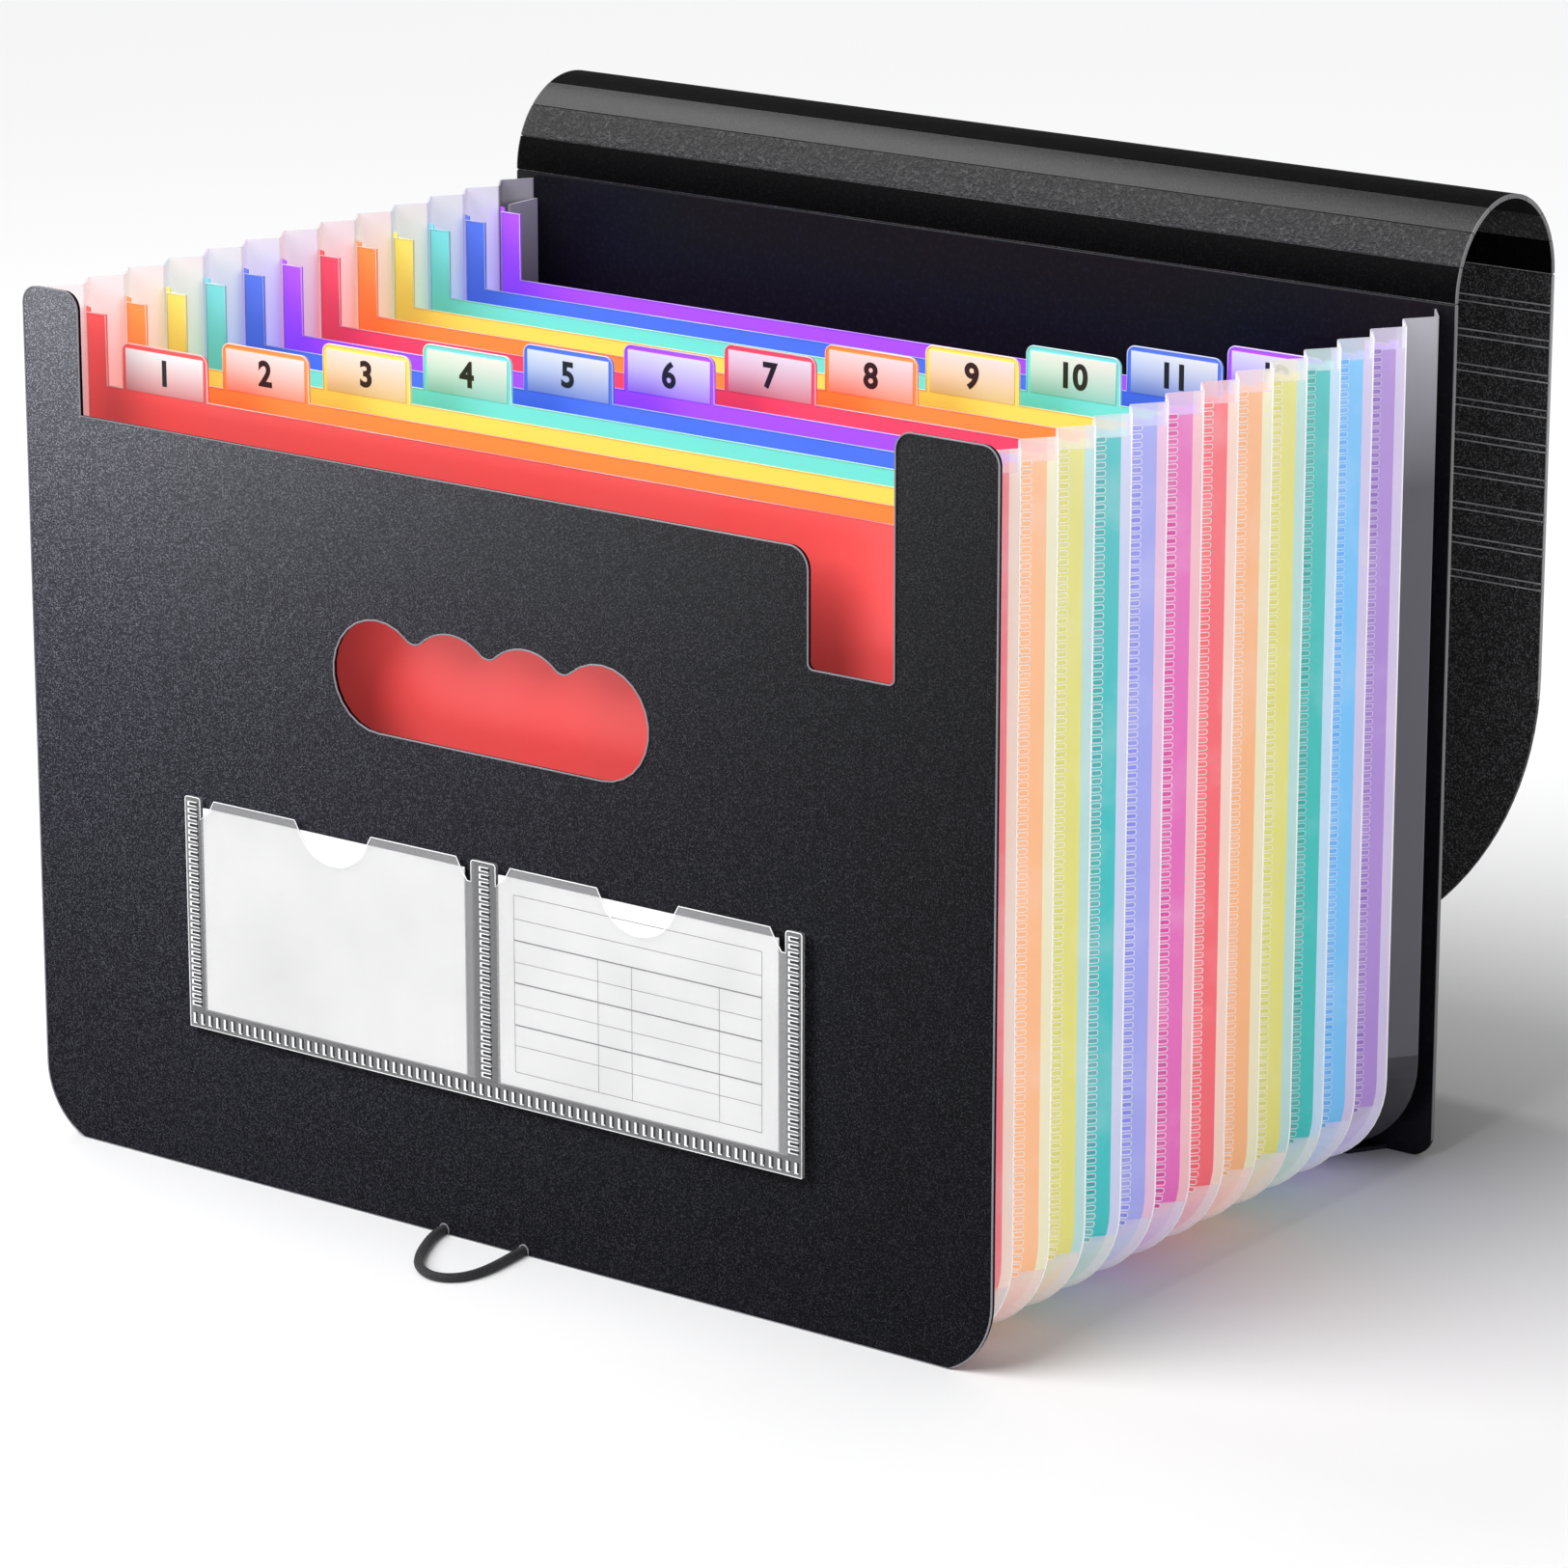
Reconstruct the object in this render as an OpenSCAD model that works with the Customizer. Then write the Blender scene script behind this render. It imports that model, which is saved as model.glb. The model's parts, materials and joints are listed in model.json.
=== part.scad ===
// Accordion file folder, standing open with its closing flap thrown back.
// X runs across the width, Y from the front cover to the back cover, Z up.
// The origin is on the floor, in the middle of the folder's outer box.
// Depths in Y are first measured from the front cover's outer face, and in_place() shifts them.

/* [Covers] */
// Width of both covers
cover_w = 330; // [300:1:350]
// Height of both covers
cover_h = 246; // [225:1:265]
// Thickness of the cover sheet
cover_t = 1.3; // [1:0.1:1.6]
// Radius of the front cover's lower corners
cover_corner_r = 22; // [16:1:26]
// Radius of the back cover's lower corners
back_corner_r = 7; // [4:0.5:12]
// Height at which the bottom fold cuts off the lower corner arcs
corner_cut = 1.7; // [1:0.1:2.5]
// Depth of the hem folded in under each cover
hem_d = 12; // [9:0.5:14]
// How much shorter the hem's inner edge is at each end
hem_taper = 7; // [3:0.5:10]
// How far the hem stops short of the ends of the fold
hem_inset = 0.5; // [0.3:0.1:2]

/* [Front cover] */
// Width of the left ear
left_ear_w = 20.2; // [16:0.2:26]
// Width of the right ear
right_ear_w = 31.8; // [26:0.2:38]
// Radius of the ears' upper corners
ear_r = 5; // [3:0.5:7]
// Depth of the window between the ears
window_depth = 34.4; // [28:0.2:40]
// Radius of the window edge where it drops into the notch
shoulder_r = 6; // [3:0.5:8]
// Width of the notch beside the right ear
notch_w = 27.3; // [22:0.1:34]
// Depth of the notch below the top edge
notch_depth = 66.2; // [58:0.2:74]
// Radius of the notch's lower corners
notch_r = 1.8; // [1:0.1:4]

/* [Handle hole] */
// Length of the handle hole
handle_w = 108.3; // [95:0.1:120]
// Height of the handle hole at a finger lobe
handle_h = 31.5; // [28:0.1:34]
// Height of cover left between the hole and the window
handle_drop = 41.6; // [36:0.1:50]
// Number of finger lobes
finger_count = 4; // [3:1:5]
// Radius of the ridges between the finger lobes
ridge_r = 4; // [3:0.5:5]

/* [Bellows] */
// Depth of the open bellows between the covers
bellows_d = 214; // [195:1:230]
// Number of pleats
pleat_count = 13; // [11:1:15]
// How far each pleat stands out from its inner fold
pleat_out = 6; // [4:0.1:6.5]
// Thickness of the frosted sheet
gusset_t = 0.5; // [0.4:0.05:0.7]
// Distance from the covers' side edges to the pleats' outer folds
gusset_inset = 0.5; // [0.3:0.1:1.5]
// How far the bellows stops below the covers' top edge
gusset_drop = 2; // [1:0.5:4]
// Clearance between the pleats and the hems below them
hem_gap = 0.4; // [0.3:0.1:0.6]
// Radius of the inner fold at the bellows' lower corners
gusset_corner_r = 22; // [18:1:26]
// Width of the bellows' weld strip on the front cover
weld_w = 8; // [5:0.5:10]

/* [Dividers] */
// Number of dividers
divider_count = 12; // [10:1:12]
// Thickness of a divider
divider_t = 0.8; // [0.6:0.05:1]
// Distance from a divider's folded side edge to the bellows' inner fold
divider_side_gap = 3; // [2.5:0.1:6]
// How far each divider stands in front of the inner fold that its flanges reach
divider_lead = 2.2; // [1.8:0.1:3]
// How far a divider's long top edge lies below the covers' top edge
divider_drop = 29; // [25:0.5:40]
// Width of the tall strip at each end of a divider
strip_w = 7; // [5:0.5:9]
// How far the tall strips end below the covers' top edge
strip_drop = 9; // [6:0.5:13]
// Radius of a divider's lower corners
divider_corner_r = 20; // [17:0.5:21]
// Thickness of the side flanges
flange_t = 0.5; // [0.4:0.05:0.6]
// Height of the side flanges' lower ends above the floor
flange_foot = 20; // [16:0.5:30]
// How far the side flanges end below the bellows' top edge
flange_drop = 6; // [3:0.5:10]
// How far the back cover's own flanges reach forward
back_flange_d = 13; // [8:0.5:14]
// Thickness of the back cover's flanges
back_flange_t = 0.8; // [0.6:0.05:1]

/* [Tabs] */
// Width of a tab
tab_w = 31.2; // [26:0.2:33]
// Height of a tab above the divider's long edge
tab_h = 13; // [10:0.5:14]
// Radius of a tab's upper corners
tab_r = 2.5; // [1.5:0.1:4]
// Distance from a divider's left edge to the first tab
tab_left_gap = 13.1; // [12:0.1:22]
// Distance from the last tab to a divider's right edge
tab_right_gap = 20.3; // [16:0.1:30]
// Coloured border left round a tab's label
label_border = 1.3; // [1:0.1:2]
// Thickness of a label sticker
label_t = 0.2; // [0.1:0.05:0.3]

/* [Closing flap] */
// Distance from one hinge score to the next
score_pitch = 10; // [9:0.1:11]
// Number of scored strips in the roll-over
flap_strips = 8; // [7:1:9]
// Number of further scores on the hanging panel
panel_scores = 9; // [7:1:11]
// Height at which the hanging panel ends above the floor
panel_lift = 30; // [24:1:46]
// Radius of the panel's lower corners
panel_corner_r = 100; // [80:1:110]
// Gap between the rounded edges of neighbouring strips
hinge_gap = 0.3; // [0.2:0.05:0.4]
// Distance between the two lines of a score pair
score_pair = 2; // [1.5:0.1:3]
// Width of one score line
score_w = 0.5; // [0.3:0.1:0.8]
// Depth of one score line
score_depth = 0.3; // [0.2:0.05:0.5]

/* [Card pocket] */
// Height of the pocket's lower edge above the floor
pocket_z = 42.5; // [36:0.5:48]
// Distance from the middle of the folder to the pocket's left edge
pocket_left = 108.3; // [104:0.1:112]
// Width of one card bay
bay_w = 94.8; // [92:0.1:97]
// Width of the left weld strip
left_weld = 5.4; // [4:0.1:7]
// Width of the weld strip between the bays
mid_weld = 10.8; // [8:0.1:12]
// Width of the right weld strip
right_weld = 7.6; // [6:0.1:9]
// Distance from a bay to the weld column on its right
column_gap = 2.4; // [1.5:0.1:3]
// Radius of the weld columns' upper corners
column_r = 0.8; // [0.5:0.1:1.2]
// Height of the bottom weld strip
bottom_weld = 5.2; // [4:0.1:7]
// Height of the clear film between the thumb cuts and the welds
film_h = 63.8; // [60:0.1:66]
// How far the film's tabs stand above its edge
film_tab_h = 3; // [2:0.1:4]
// How far a tab's end leans
tab_lean = 1.7; // [1:0.1:2.5]
// Depth of the dips in the film beside the weld columns
dip_d = 3.1; // [2:0.1:4]
// Width of the dip on a bay's left
dip_w = 3.5; // [2.5:0.1:5]
// Distance from the right tab to the right end of its bay
right_tab_gap = 1.1; // [0.8:0.1:2]
// How far the right dip's foot stands short of its weld column
dip_foot = 1.4; // [0.8:0.1:1.4]
// Radius of a thumb cut
thumb_r = 13.1; // [11:0.1:14]
// Height of a thumb cut's centre above the tabs
thumb_lift = 2.2; // [1:0.1:3]
// Thickness of the film
film_t = 0.3; // [0.2:0.05:0.4]
// Clearance at each side of a card in its bay
card_side_gap = 0.5; // [0.4:0.05:3]
// How far the film's upper edge stands above a card
card_drop = 2.8; // [1.5:0.1:6]
// Thickness of a card
card_t = 0.4; // [0.3:0.05:0.5]
// Clearance on each face of a card
card_gap = 0.3; // [0.2:0.05:0.4]

/* [Closure] */
// Diameter of the elastic cord
cord_d = 2.5; // [2:0.1:3]
// Width of the bar that anchors the cord
anchor_w = 36; // [32:0.5:44]
// Depth of the anchor bar
anchor_d = 3.2; // [2.6:0.1:3.6]
// Height of the anchor bar
anchor_h = 3.6; // [3:0.1:4]
// Radius of the button's head
button_r = 7.5; // [6:0.5:9]
// Thickness of the button's head
button_t = 1.6; // [1.2:0.1:2.2]
// Radius of the button's neck
neck_r = 3.5; // [3:0.1:4.5]
// Length of the button's neck
neck_l = 2.8; // [2.5:0.1:3.4]
// Radius of the rivet shank through the panel
shank_r = 1.5; // [1.2:0.1:1.8]
// Distance from the panel's end to the button
button_inset = 25; // [18:1:32]
// Radius of the washer behind the panel
washer_r = 5; // [4:0.5:6]
// Thickness of the washer
washer_t = 1; // [0.8:0.1:1.2]

/* [Hidden] */
// One colour name for each set of flanges, in the order of the dividers
flange_sets = ["red", "orange", "yellow", "teal", "blue", "purple"];
sheet_colours = ["Tomato", "SandyBrown", "Khaki", "MediumTurquoise", "RoyalBlue", "MediumOrchid"];
colour_count = len(sheet_colours);

// Facets of a drawn round
$fn = 48;
overrun = 1;
seat_gap = 0.3;
grid = 0.01;

// Covers
corner_x = cover_w / 2 - cover_corner_r;
corner_z = cover_corner_r - corner_cut;
fold_half = corner_x + sqrt(cover_corner_r * cover_corner_r - corner_z * corner_z);
window_z = cover_h - window_depth;
notch_z = cover_h - notch_depth;
notch_right = cover_w / 2 - right_ear_w;
back_y = cover_t + bellows_d;

// Handle hole
finger_r = handle_h / 2;
handle_z = window_z - handle_drop - handle_h;
finger_pitch = (handle_w - handle_h) / (finger_count - 1);
first_finger = -(handle_w - handle_h) / 2;
ridge_z = sqrt(pow(finger_r + ridge_r, 2) - pow(finger_pitch / 2, 2));
ridge_turn = atan2(ridge_z, finger_pitch / 2);
arc_steps = 16;

// Bellows: n is the distance outward from the inner fold
pleat_pitch = bellows_d / pleat_count;
inner_fold_x = cover_w / 2 - gusset_inset - pleat_out;
gusset_skin = on_grid(gusset_t / cos(atan(2 * pleat_out / pleat_pitch)));
inner_fold_z = cover_t + hem_gap + pleat_out + gusset_skin / 2;
gusset_corner_x = inner_fold_x - gusset_corner_r;
gusset_corner_z = inner_fold_z + gusset_corner_r;
gusset_top = cover_h - gusset_drop;
side_len = gusset_top - gusset_corner_z;

// Dividers
divider_half = inner_fold_x - divider_side_gap;
divider_w = 2 * divider_half;
divider_top = cover_h - divider_drop;
strip_top = cover_h - strip_drop;
flange_top = gusset_top - flange_drop;
wall_gap = gusset_skin / 2 + seat_gap;
divider_z = inner_fold_z + wall_gap;
divider_corner_x = divider_half - divider_corner_r;
divider_corner_z = divider_z + divider_corner_r;
flange_reach_x = inner_fold_x - wall_gap;
first_tab_x = -divider_half + tab_left_gap + tab_w / 2;
tab_pitch = (divider_w - tab_left_gap - tab_right_gap - tab_w) / (divider_count - 1);

// Closing flap: the strips stand round half a circle
strip_turn = 180 / flap_strips;
hinge_y = back_y + cover_t / 2;
edge_back = (cover_t + hinge_gap) / 2;
roll_r = score_pitch / (2 * sin(strip_turn / 2));
panel_y = hinge_y + 2 * roll_r;
panel_l = cover_h - panel_lift;

// Card pocket
pocket_d = card_t + 2 * card_gap + film_t;
pocket_w = left_weld + mid_weld + right_weld + 2 * bay_w;
bay_x = [-pocket_left + left_weld, -pocket_left + left_weld + bay_w + mid_weld];
bay_z = pocket_z + bottom_weld;
card_w = bay_w - 2 * card_side_gap;
card_h = film_h - bottom_weld - seat_gap - card_drop + film_tab_h;
film_top = film_h + film_tab_h;
thumb_share = 0.51;
thumb_x = thumb_share * bay_w;
lip_half = sqrt(pow(thumb_r, 2) - pow(film_tab_h + thumb_lift, 2));
column_x = [0, left_weld + bay_w + column_gap, left_weld + 2 * bay_w + mid_weld + column_gap];
column_w = [left_weld, mid_weld - column_gap, right_weld - column_gap];

// Closure
loop_x = -4;
loop_half = 14;
cord_clear = 0.25;
shank_gap = 0.05;
button_z = cover_h - panel_l + button_inset;

// The middle of the folder's outer box in Y
front_most = -pocket_d;
back_most = panel_y + cover_t / 2 + washer_t;
mid_y = (front_most + back_most) / 2;

// The elastic loop's middle line on the floor, from the front cover's outer face
loop_z = 1.3;
loop_route = [
    [-18, 1.3], [-18, -1], [-17.4, -4.5], [-16, -8.5], [-14, -12.8], [-11.7, -17.2],
    [-9, -21.5], [-5.8, -25.4], [-1.8, -28.4], [2.6, -29.8], [6.6, -29], [9.4, -26.4],
    [10.9, -22.6], [11.4, -18.2], [11.3, -13.8], [10.9, -9.4], [10.4, -5.4], [10, -1.6], [10, 1.3]
];

function on_grid(v) = round(v / grid) * grid;
function two(k) = str(k < 10 ? "0" : "", k);
function tab_x(k) = first_tab_x + (k - 1) * tab_pitch;
function sheet_colour(k) = sheet_colours[(k - 1) % colour_count];

// Depth of inner fold j and of the outer fold after it
function inner_y(j) = cover_t + j * pleat_pitch;
function outer_y(j) = inner_y(j) + pleat_pitch / 2;
function divider_y(k) = on_grid(inner_y(k) - divider_lead);

// The pleated section as points [n, y]: out along one face and back along the other
pleat_line = concat(
    [for (j = [0 : pleat_count - 1]) each [[0, inner_y(j)], [pleat_out, outer_y(j)]]],
    [[0, inner_y(pleat_count)]]);
pleat_last = len(pleat_line) - 1;
pleat_section = concat(
    [for (p = pleat_line) [p[0] + gusset_skin / 2, p[1]]],
    [for (i = [pleat_last : -1 : 0]) pleat_line[i] - [gusset_skin / 2, 0]]);

// Tilt of strip i back from upright, and the hinge line at its start
function strip_tilt(i) = strip_turn * (i - 1 / 2);
function hinge_at(i) = i == 0 ? [hinge_y, cover_h]
    : hinge_at(i - 1) + score_pitch * [sin(strip_tilt(i)), cos(strip_tilt(i))];

module in_place() {
    translate([0, -mid_y, 0]) children();
}

// Stands a drawing in X and Z up as a sheet from depth y to depth y + t
module upright(y, t) {
    translate([0, y + t, 0]) rotate([90, 0, 0]) linear_extrude(t) children();
}

module mirrored_pair() {
    children();
    mirror([1, 0, 0]) children();
}

module top_rounded(w, h, r) {
    square([w, h - r]);
    translate([r, 0]) square([w - 2 * r, h]);
    for (x = [r, w - r]) translate([x, h - r]) circle(r);
}

module cover_outline() {
    intersection() {
        union() {
            translate([-cover_w / 2, corner_z]) square([cover_w, cover_h - corner_z]);
            translate([-corner_x, 0]) square([2 * corner_x, cover_h]);
            for (x = [-corner_x, corner_x]) translate([x, corner_z]) circle(cover_corner_r);
        }
        translate([-cover_w / 2, 0]) square([cover_w, cover_h]);
    }
}

module back_outline() {
    back_corner_x = cover_w / 2 - back_corner_r;
    back_top = cover_h - edge_back;
    translate([-cover_w / 2, back_corner_r]) square([cover_w, back_top - back_corner_r]);
    translate([-back_corner_x, 0]) square([2 * back_corner_x, back_top]);
    for (x = [-back_corner_x, back_corner_x]) translate([x, back_corner_r]) circle(back_corner_r);
}

function arc(x, z, r, from, to) =
    [for (i = [0 : arc_steps]) let (a = from + (to - from) * i / arc_steps) [x + r * cos(a), z + r * sin(a)]];

// Finger lobes over a straight edge, with rounded ridges between them
module handle_hole() {
    last = finger_count - 1;
    ridge_half = ridge_r * cos(ridge_turn) - grid;
    translate([0, handle_z + finger_r]) polygon([for (i = [0 : last])
        let (x = first_finger + i * finger_pitch, ridge_x = x + finger_pitch / 2) each concat(
            arc(x, 0, finger_r, i == 0 ? 270 : 180 - ridge_turn, i == last ? -90 : ridge_turn),
            i == last ? [] : [for (p = arc(ridge_x, ridge_z, ridge_r, 180 + ridge_turn, 360 - ridge_turn))
                if (abs(p[0] - ridge_x) < ridge_half) p])]);
}

module notch_cut() {
    translate([notch_right, cover_h + overrun]) rotate(180)
        top_rounded(notch_w, notch_depth + overrun, notch_r);
}

// The corner left over outside a round of radius r, with its point at the origin
module corner_waste(r) {
    difference() {
        translate([-r, -r]) square([r + overrun, r + overrun]);
        translate([-r, -r]) circle(r);
    }
}

module front_outline() {
    difference() {
        cover_outline();
        translate([-cover_w / 2 - overrun, window_z]) square([cover_w + 2 * overrun, window_depth + overrun]);
        notch_cut();
        intersection() {
            translate([notch_right - notch_w, window_z]) corner_waste(shoulder_r);
            translate([notch_right - notch_w - shoulder_r, window_z - shoulder_r]) square(shoulder_r);
        }
        handle_hole();
    }
    translate([-cover_w / 2, notch_z]) top_rounded(left_ear_w, notch_depth, ear_r);
    translate([notch_right, notch_z]) top_rounded(right_ear_w, notch_depth, ear_r);
}

// The hem's outline on the floor, from the fold inward
module hem_outline() {
    hem_half = fold_half - hem_inset;
    polygon([[-hem_half, 0], [hem_half, 0], [hem_half - hem_taper, hem_d], [-hem_half + hem_taper, hem_d]]);
}

module cord_slots() {
    for (s = [-1, 1]) translate([loop_x + s * loop_half, 0]) {
        translate([-cord_d / 2 - cord_clear, -overrun])
            square([cord_d + 2 * cord_clear, loop_z + overrun]);
        translate([0, loop_z]) circle(cord_d / 2 + cord_clear);
    }
}

module front_cover() {
    color("DimGray") in_place() {
        upright(0, cover_t) difference() {
            front_outline();
            cord_slots();
        }
        difference() {
            linear_extrude(cover_t) hem_outline();
            translate([loop_x - anchor_w / 2 - seat_gap, -overrun, -overrun])
                cube([anchor_w + 2 * seat_gap, cover_t + anchor_d + seat_gap + overrun,
                    cover_t + 2 * overrun]);
        }
    }
}

// The room between the bellows' inner folds, for flanges that end against them
module side_room() {
    corner_r = gusset_corner_r - wall_gap;
    translate([-flange_reach_x, gusset_corner_z]) square([2 * flange_reach_x, flange_top - gusset_corner_z]);
    translate([-gusset_corner_x, flange_foot]) square([2 * gusset_corner_x, flange_top - flange_foot]);
    for (x = [-gusset_corner_x, gusset_corner_x]) translate([x, gusset_corner_z]) circle(corner_r);
}

module between_folds(y, d) {
    intersection() {
        translate([0, 0, flange_foot]) linear_extrude(flange_top - flange_foot) children();
        upright(y, d) side_room();
    }
}

module back_flange() {
    between_folds(back_y - back_flange_d, back_flange_d + cover_t / 2)
        translate([flange_reach_x - back_flange_t, back_y - back_flange_d])
            square([back_flange_t, back_flange_d + cover_t / 2]);
}

module back_cover() {
    color("DimGray") in_place() {
        upright(back_y, cover_t) back_outline();
        translate([-cover_w / 2, hinge_y, cover_h - edge_back]) rotate([0, 90, 0])
            cylinder(h = cover_w, r = cover_t / 2);
        translate([0, back_y + cover_t, 0]) mirror([0, 1, 0]) linear_extrude(cover_t) hem_outline();
        mirrored_pair() back_flange();
    }
}

module gusset_side() {
    translate([inner_fold_x, 0, gusset_corner_z]) linear_extrude(side_len) polygon(pleat_section);
}

module gusset_corner() {
    translate([gusset_corner_x, 0, gusset_corner_z]) rotate([90, 0, 0]) rotate([0, 0, -90])
        rotate_extrude(angle = 90) polygon([for (p = pleat_section) [gusset_corner_r + p[0], -p[1]]]);
}

module gusset_bottom() {
    translate([-gusset_corner_x, 0, inner_fold_z]) rotate([0, 90, 0])
        linear_extrude(2 * gusset_corner_x) polygon(pleat_section);
}

module bellows_gusset() {
    color("WhiteSmoke", 0.7) in_place() {
        mirrored_pair() {
            gusset_side();
            gusset_corner();
            translate([inner_fold_x - weld_w, cover_t, gusset_corner_z]) cube([weld_w, gusset_t, side_len]);
        }
        gusset_bottom();
    }
}

module divider_outline(k) {
    translate([-divider_half, divider_corner_z]) square([divider_w, divider_top - divider_corner_z]);
    translate([-divider_corner_x, divider_z]) square([2 * divider_corner_x, divider_corner_r]);
    for (x = [-divider_corner_x, divider_corner_x]) translate([x, divider_corner_z]) circle(divider_corner_r);
    for (x = [-divider_half, divider_half - strip_w])
        translate([x, divider_corner_z]) square([strip_w, strip_top - divider_corner_z]);
    translate([tab_x(k) - tab_w / 2, divider_top - tab_r]) top_rounded(tab_w, tab_h + tab_r, tab_r);
}

module divider(k) {
    color(sheet_colour(k)) in_place()
        upright(divider_y(k) - divider_t / 2, divider_t) divider_outline(k);
}

module tab_label(k) {
    color("White") in_place() upright(divider_y(k) - divider_t / 2 - label_t, label_t)
        translate([tab_x(k) - tab_w / 2 + label_border, divider_top])
            square([tab_w - 2 * label_border, tab_h - label_border]);
}

// A flange starts behind the divider's edge and ends beside the inner fold next to it
module side_flange(k) {
    root_y = divider_y(k) + divider_t / 2 + seat_gap;
    end_y = on_grid(inner_y(k));
    between_folds(root_y, end_y - root_y)
        polygon([[divider_half - flange_t, root_y], [divider_half, root_y],
            [flange_reach_x, end_y - flange_t / 2], [flange_reach_x, end_y],
            [flange_reach_x - flange_t, end_y], [divider_half - flange_t, root_y + flange_t / 2]]);
}

module flanges(set) {
    color(sheet_colours[set]) in_place()
        for (k = [set + 1 : colour_count : divider_count]) mirrored_pair() side_flange(k);
}

// A strip lies between two hinge lines and has half-round long edges
module flap_strip(i) {
    color("DimGray") in_place()
        translate([0, hinge_at(i - 1)[0], hinge_at(i - 1)[1]]) rotate([-strip_tilt(i), 0, 0]) {
            translate([-cover_w / 2, -cover_t / 2, edge_back])
                cube([cover_w, cover_t, score_pitch - 2 * edge_back]);
            for (z = [edge_back, score_pitch - edge_back])
                translate([-cover_w / 2, 0, z]) rotate([0, 90, 0]) cylinder(h = cover_w, r = cover_t / 2);
        }
}

module panel_outline() {
    straight_l = panel_l - panel_corner_r;
    translate([-cover_w / 2, edge_back]) square([cover_w, straight_l - edge_back]);
    translate([-cover_w / 2 + panel_corner_r, edge_back])
        square([cover_w - 2 * panel_corner_r, panel_l - edge_back]);
    for (x = [-1, 1]) translate([x * (cover_w / 2 - panel_corner_r), straight_l]) intersection() {
        circle(panel_corner_r, $fn = 4 * $fn);
        translate([x > 0 ? 0 : -panel_corner_r, 0]) square(panel_corner_r);
    }
}

// Score pairs run right across the panel's face towards the back cover
module panel_score_lines() {
    for (j = [1 : panel_scores]) for (s = [-1, 1])
        translate([-cover_w / 2 - overrun, cover_t / 2 - score_depth,
            j * score_pitch + s * score_pair / 2 - score_w / 2])
                cube([cover_w + 2 * overrun, score_depth + overrun, score_w]);
}

module flap_panel() {
    color("DimGray") in_place() translate([0, panel_y, cover_h]) rotate([180, 0, 0]) difference() {
        union() {
            upright(-cover_t / 2, cover_t) panel_outline();
            translate([-cover_w / 2, 0, edge_back]) rotate([0, 90, 0]) cylinder(h = cover_w, r = cover_t / 2);
        }
        panel_score_lines();
        translate([0, 0, panel_l - button_inset]) rotate([90, 0, 0])
            cylinder(h = cover_t + 2 * overrun, r = shank_r + shank_gap, center = true);
    }
}

// A tab from x to x + w at its foot, with leaning ends
module film_tab(x, w) {
    polygon([[x, film_h - film_tab_h], [x, film_h], [x + tab_lean, film_top], [x + w - tab_lean, film_top],
        [x + w, film_h], [x + w, film_h - film_tab_h]]);
}

module weld_columns() {
    for (c = [0 : len(column_x) - 1])
        translate([column_x[c], 0]) top_rounded(column_w[c], film_top, column_r);
}

// The dips on both sides of a bay, down from the film's edge
module film_dips() {
    foot_z = film_h - dip_d;
    column_side = bay_w + column_gap;
    polygon([[0, foot_z], [dip_w, film_h], [dip_w, film_h + overrun], [0, film_h + overrun]]);
    polygon([[bay_w - right_tab_gap, film_h], [column_side - dip_foot, foot_z], [column_side, foot_z],
        [column_side, film_h + overrun], [bay_w - right_tab_gap, film_h + overrun]]);
}

module film_outline() {
    difference() {
        union() {
            difference() {
                square([pocket_w, film_h]);
                for (x = bay_x) translate([x + pocket_left, 0]) film_dips();
            }
            for (x = bay_x) translate([x + pocket_left, 0]) {
                film_tab(dip_w, thumb_x - lip_half - dip_w);
                film_tab(thumb_x + lip_half, bay_w - right_tab_gap - thumb_x - lip_half);
            }
        }
        for (x = bay_x) translate([x + pocket_left + thumb_x, film_top + thumb_lift]) circle(thumb_r);
    }
    weld_columns();
}

module card_pocket() {
    color("LightCyan", 0.4) in_place() {
        upright(-pocket_d, film_t) translate([-pocket_left, pocket_z]) film_outline();
        upright(-pocket_d + film_t, pocket_d - film_t) translate([-pocket_left, pocket_z]) {
            square([pocket_w, bottom_weld]);
            weld_columns();
        }
    }
}

module index_card(bay) {
    color("Ivory") in_place()
        upright(-card_gap - card_t, card_t)
            translate([bay_x[bay] + (bay_w - card_w) / 2, bay_z + seat_gap]) square([card_w, card_h]);
}

// Eight-sided tube along the loop's route, flat on the floor
cord_sides = 8;
cord_rings = len(loop_route);
function cord_heading(i) =
    let (a = loop_route[max(i - 1, 0)], b = loop_route[min(i + 1, cord_rings - 1)], d = b - a) d / norm(d);
function cord_ring(i) = let (h = i == 0 ? [0, -1] : i == cord_rings - 1 ? [0, 1] : cord_heading(i))
    [for (s = [0 : cord_sides - 1]) let (a = 360 * s / cord_sides)
        [loop_route[i][0] + cord_d / 2 * cos(a) * h[1], loop_route[i][1] - cord_d / 2 * cos(a) * h[0],
         loop_z + cord_d / 2 * sin(a)]];

module elastic_loop() {
    ring_points = [for (i = [0 : cord_rings - 1]) each cord_ring(i)];
    side_faces = [for (i = [0 : cord_rings - 2]) for (s = [0 : cord_sides - 1])
        let (a = i * cord_sides + s, b = i * cord_sides + (s + 1) % cord_sides)
        each [[a, b, b + cord_sides], [a, b + cord_sides, a + cord_sides]]];
    start_cap = [for (s = [cord_sides - 1 : -1 : 0]) s];
    end_cap = [for (s = [0 : cord_sides - 1]) (cord_rings - 1) * cord_sides + s];
    color("Black") in_place() polyhedron(ring_points, concat([start_cap], side_faces, [end_cap]));
}

module loop_anchor() {
    color("Black") in_place()
        translate([loop_x - anchor_w / 2, cover_t, seat_gap]) cube([anchor_w, anchor_d, anchor_h]);
}

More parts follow.
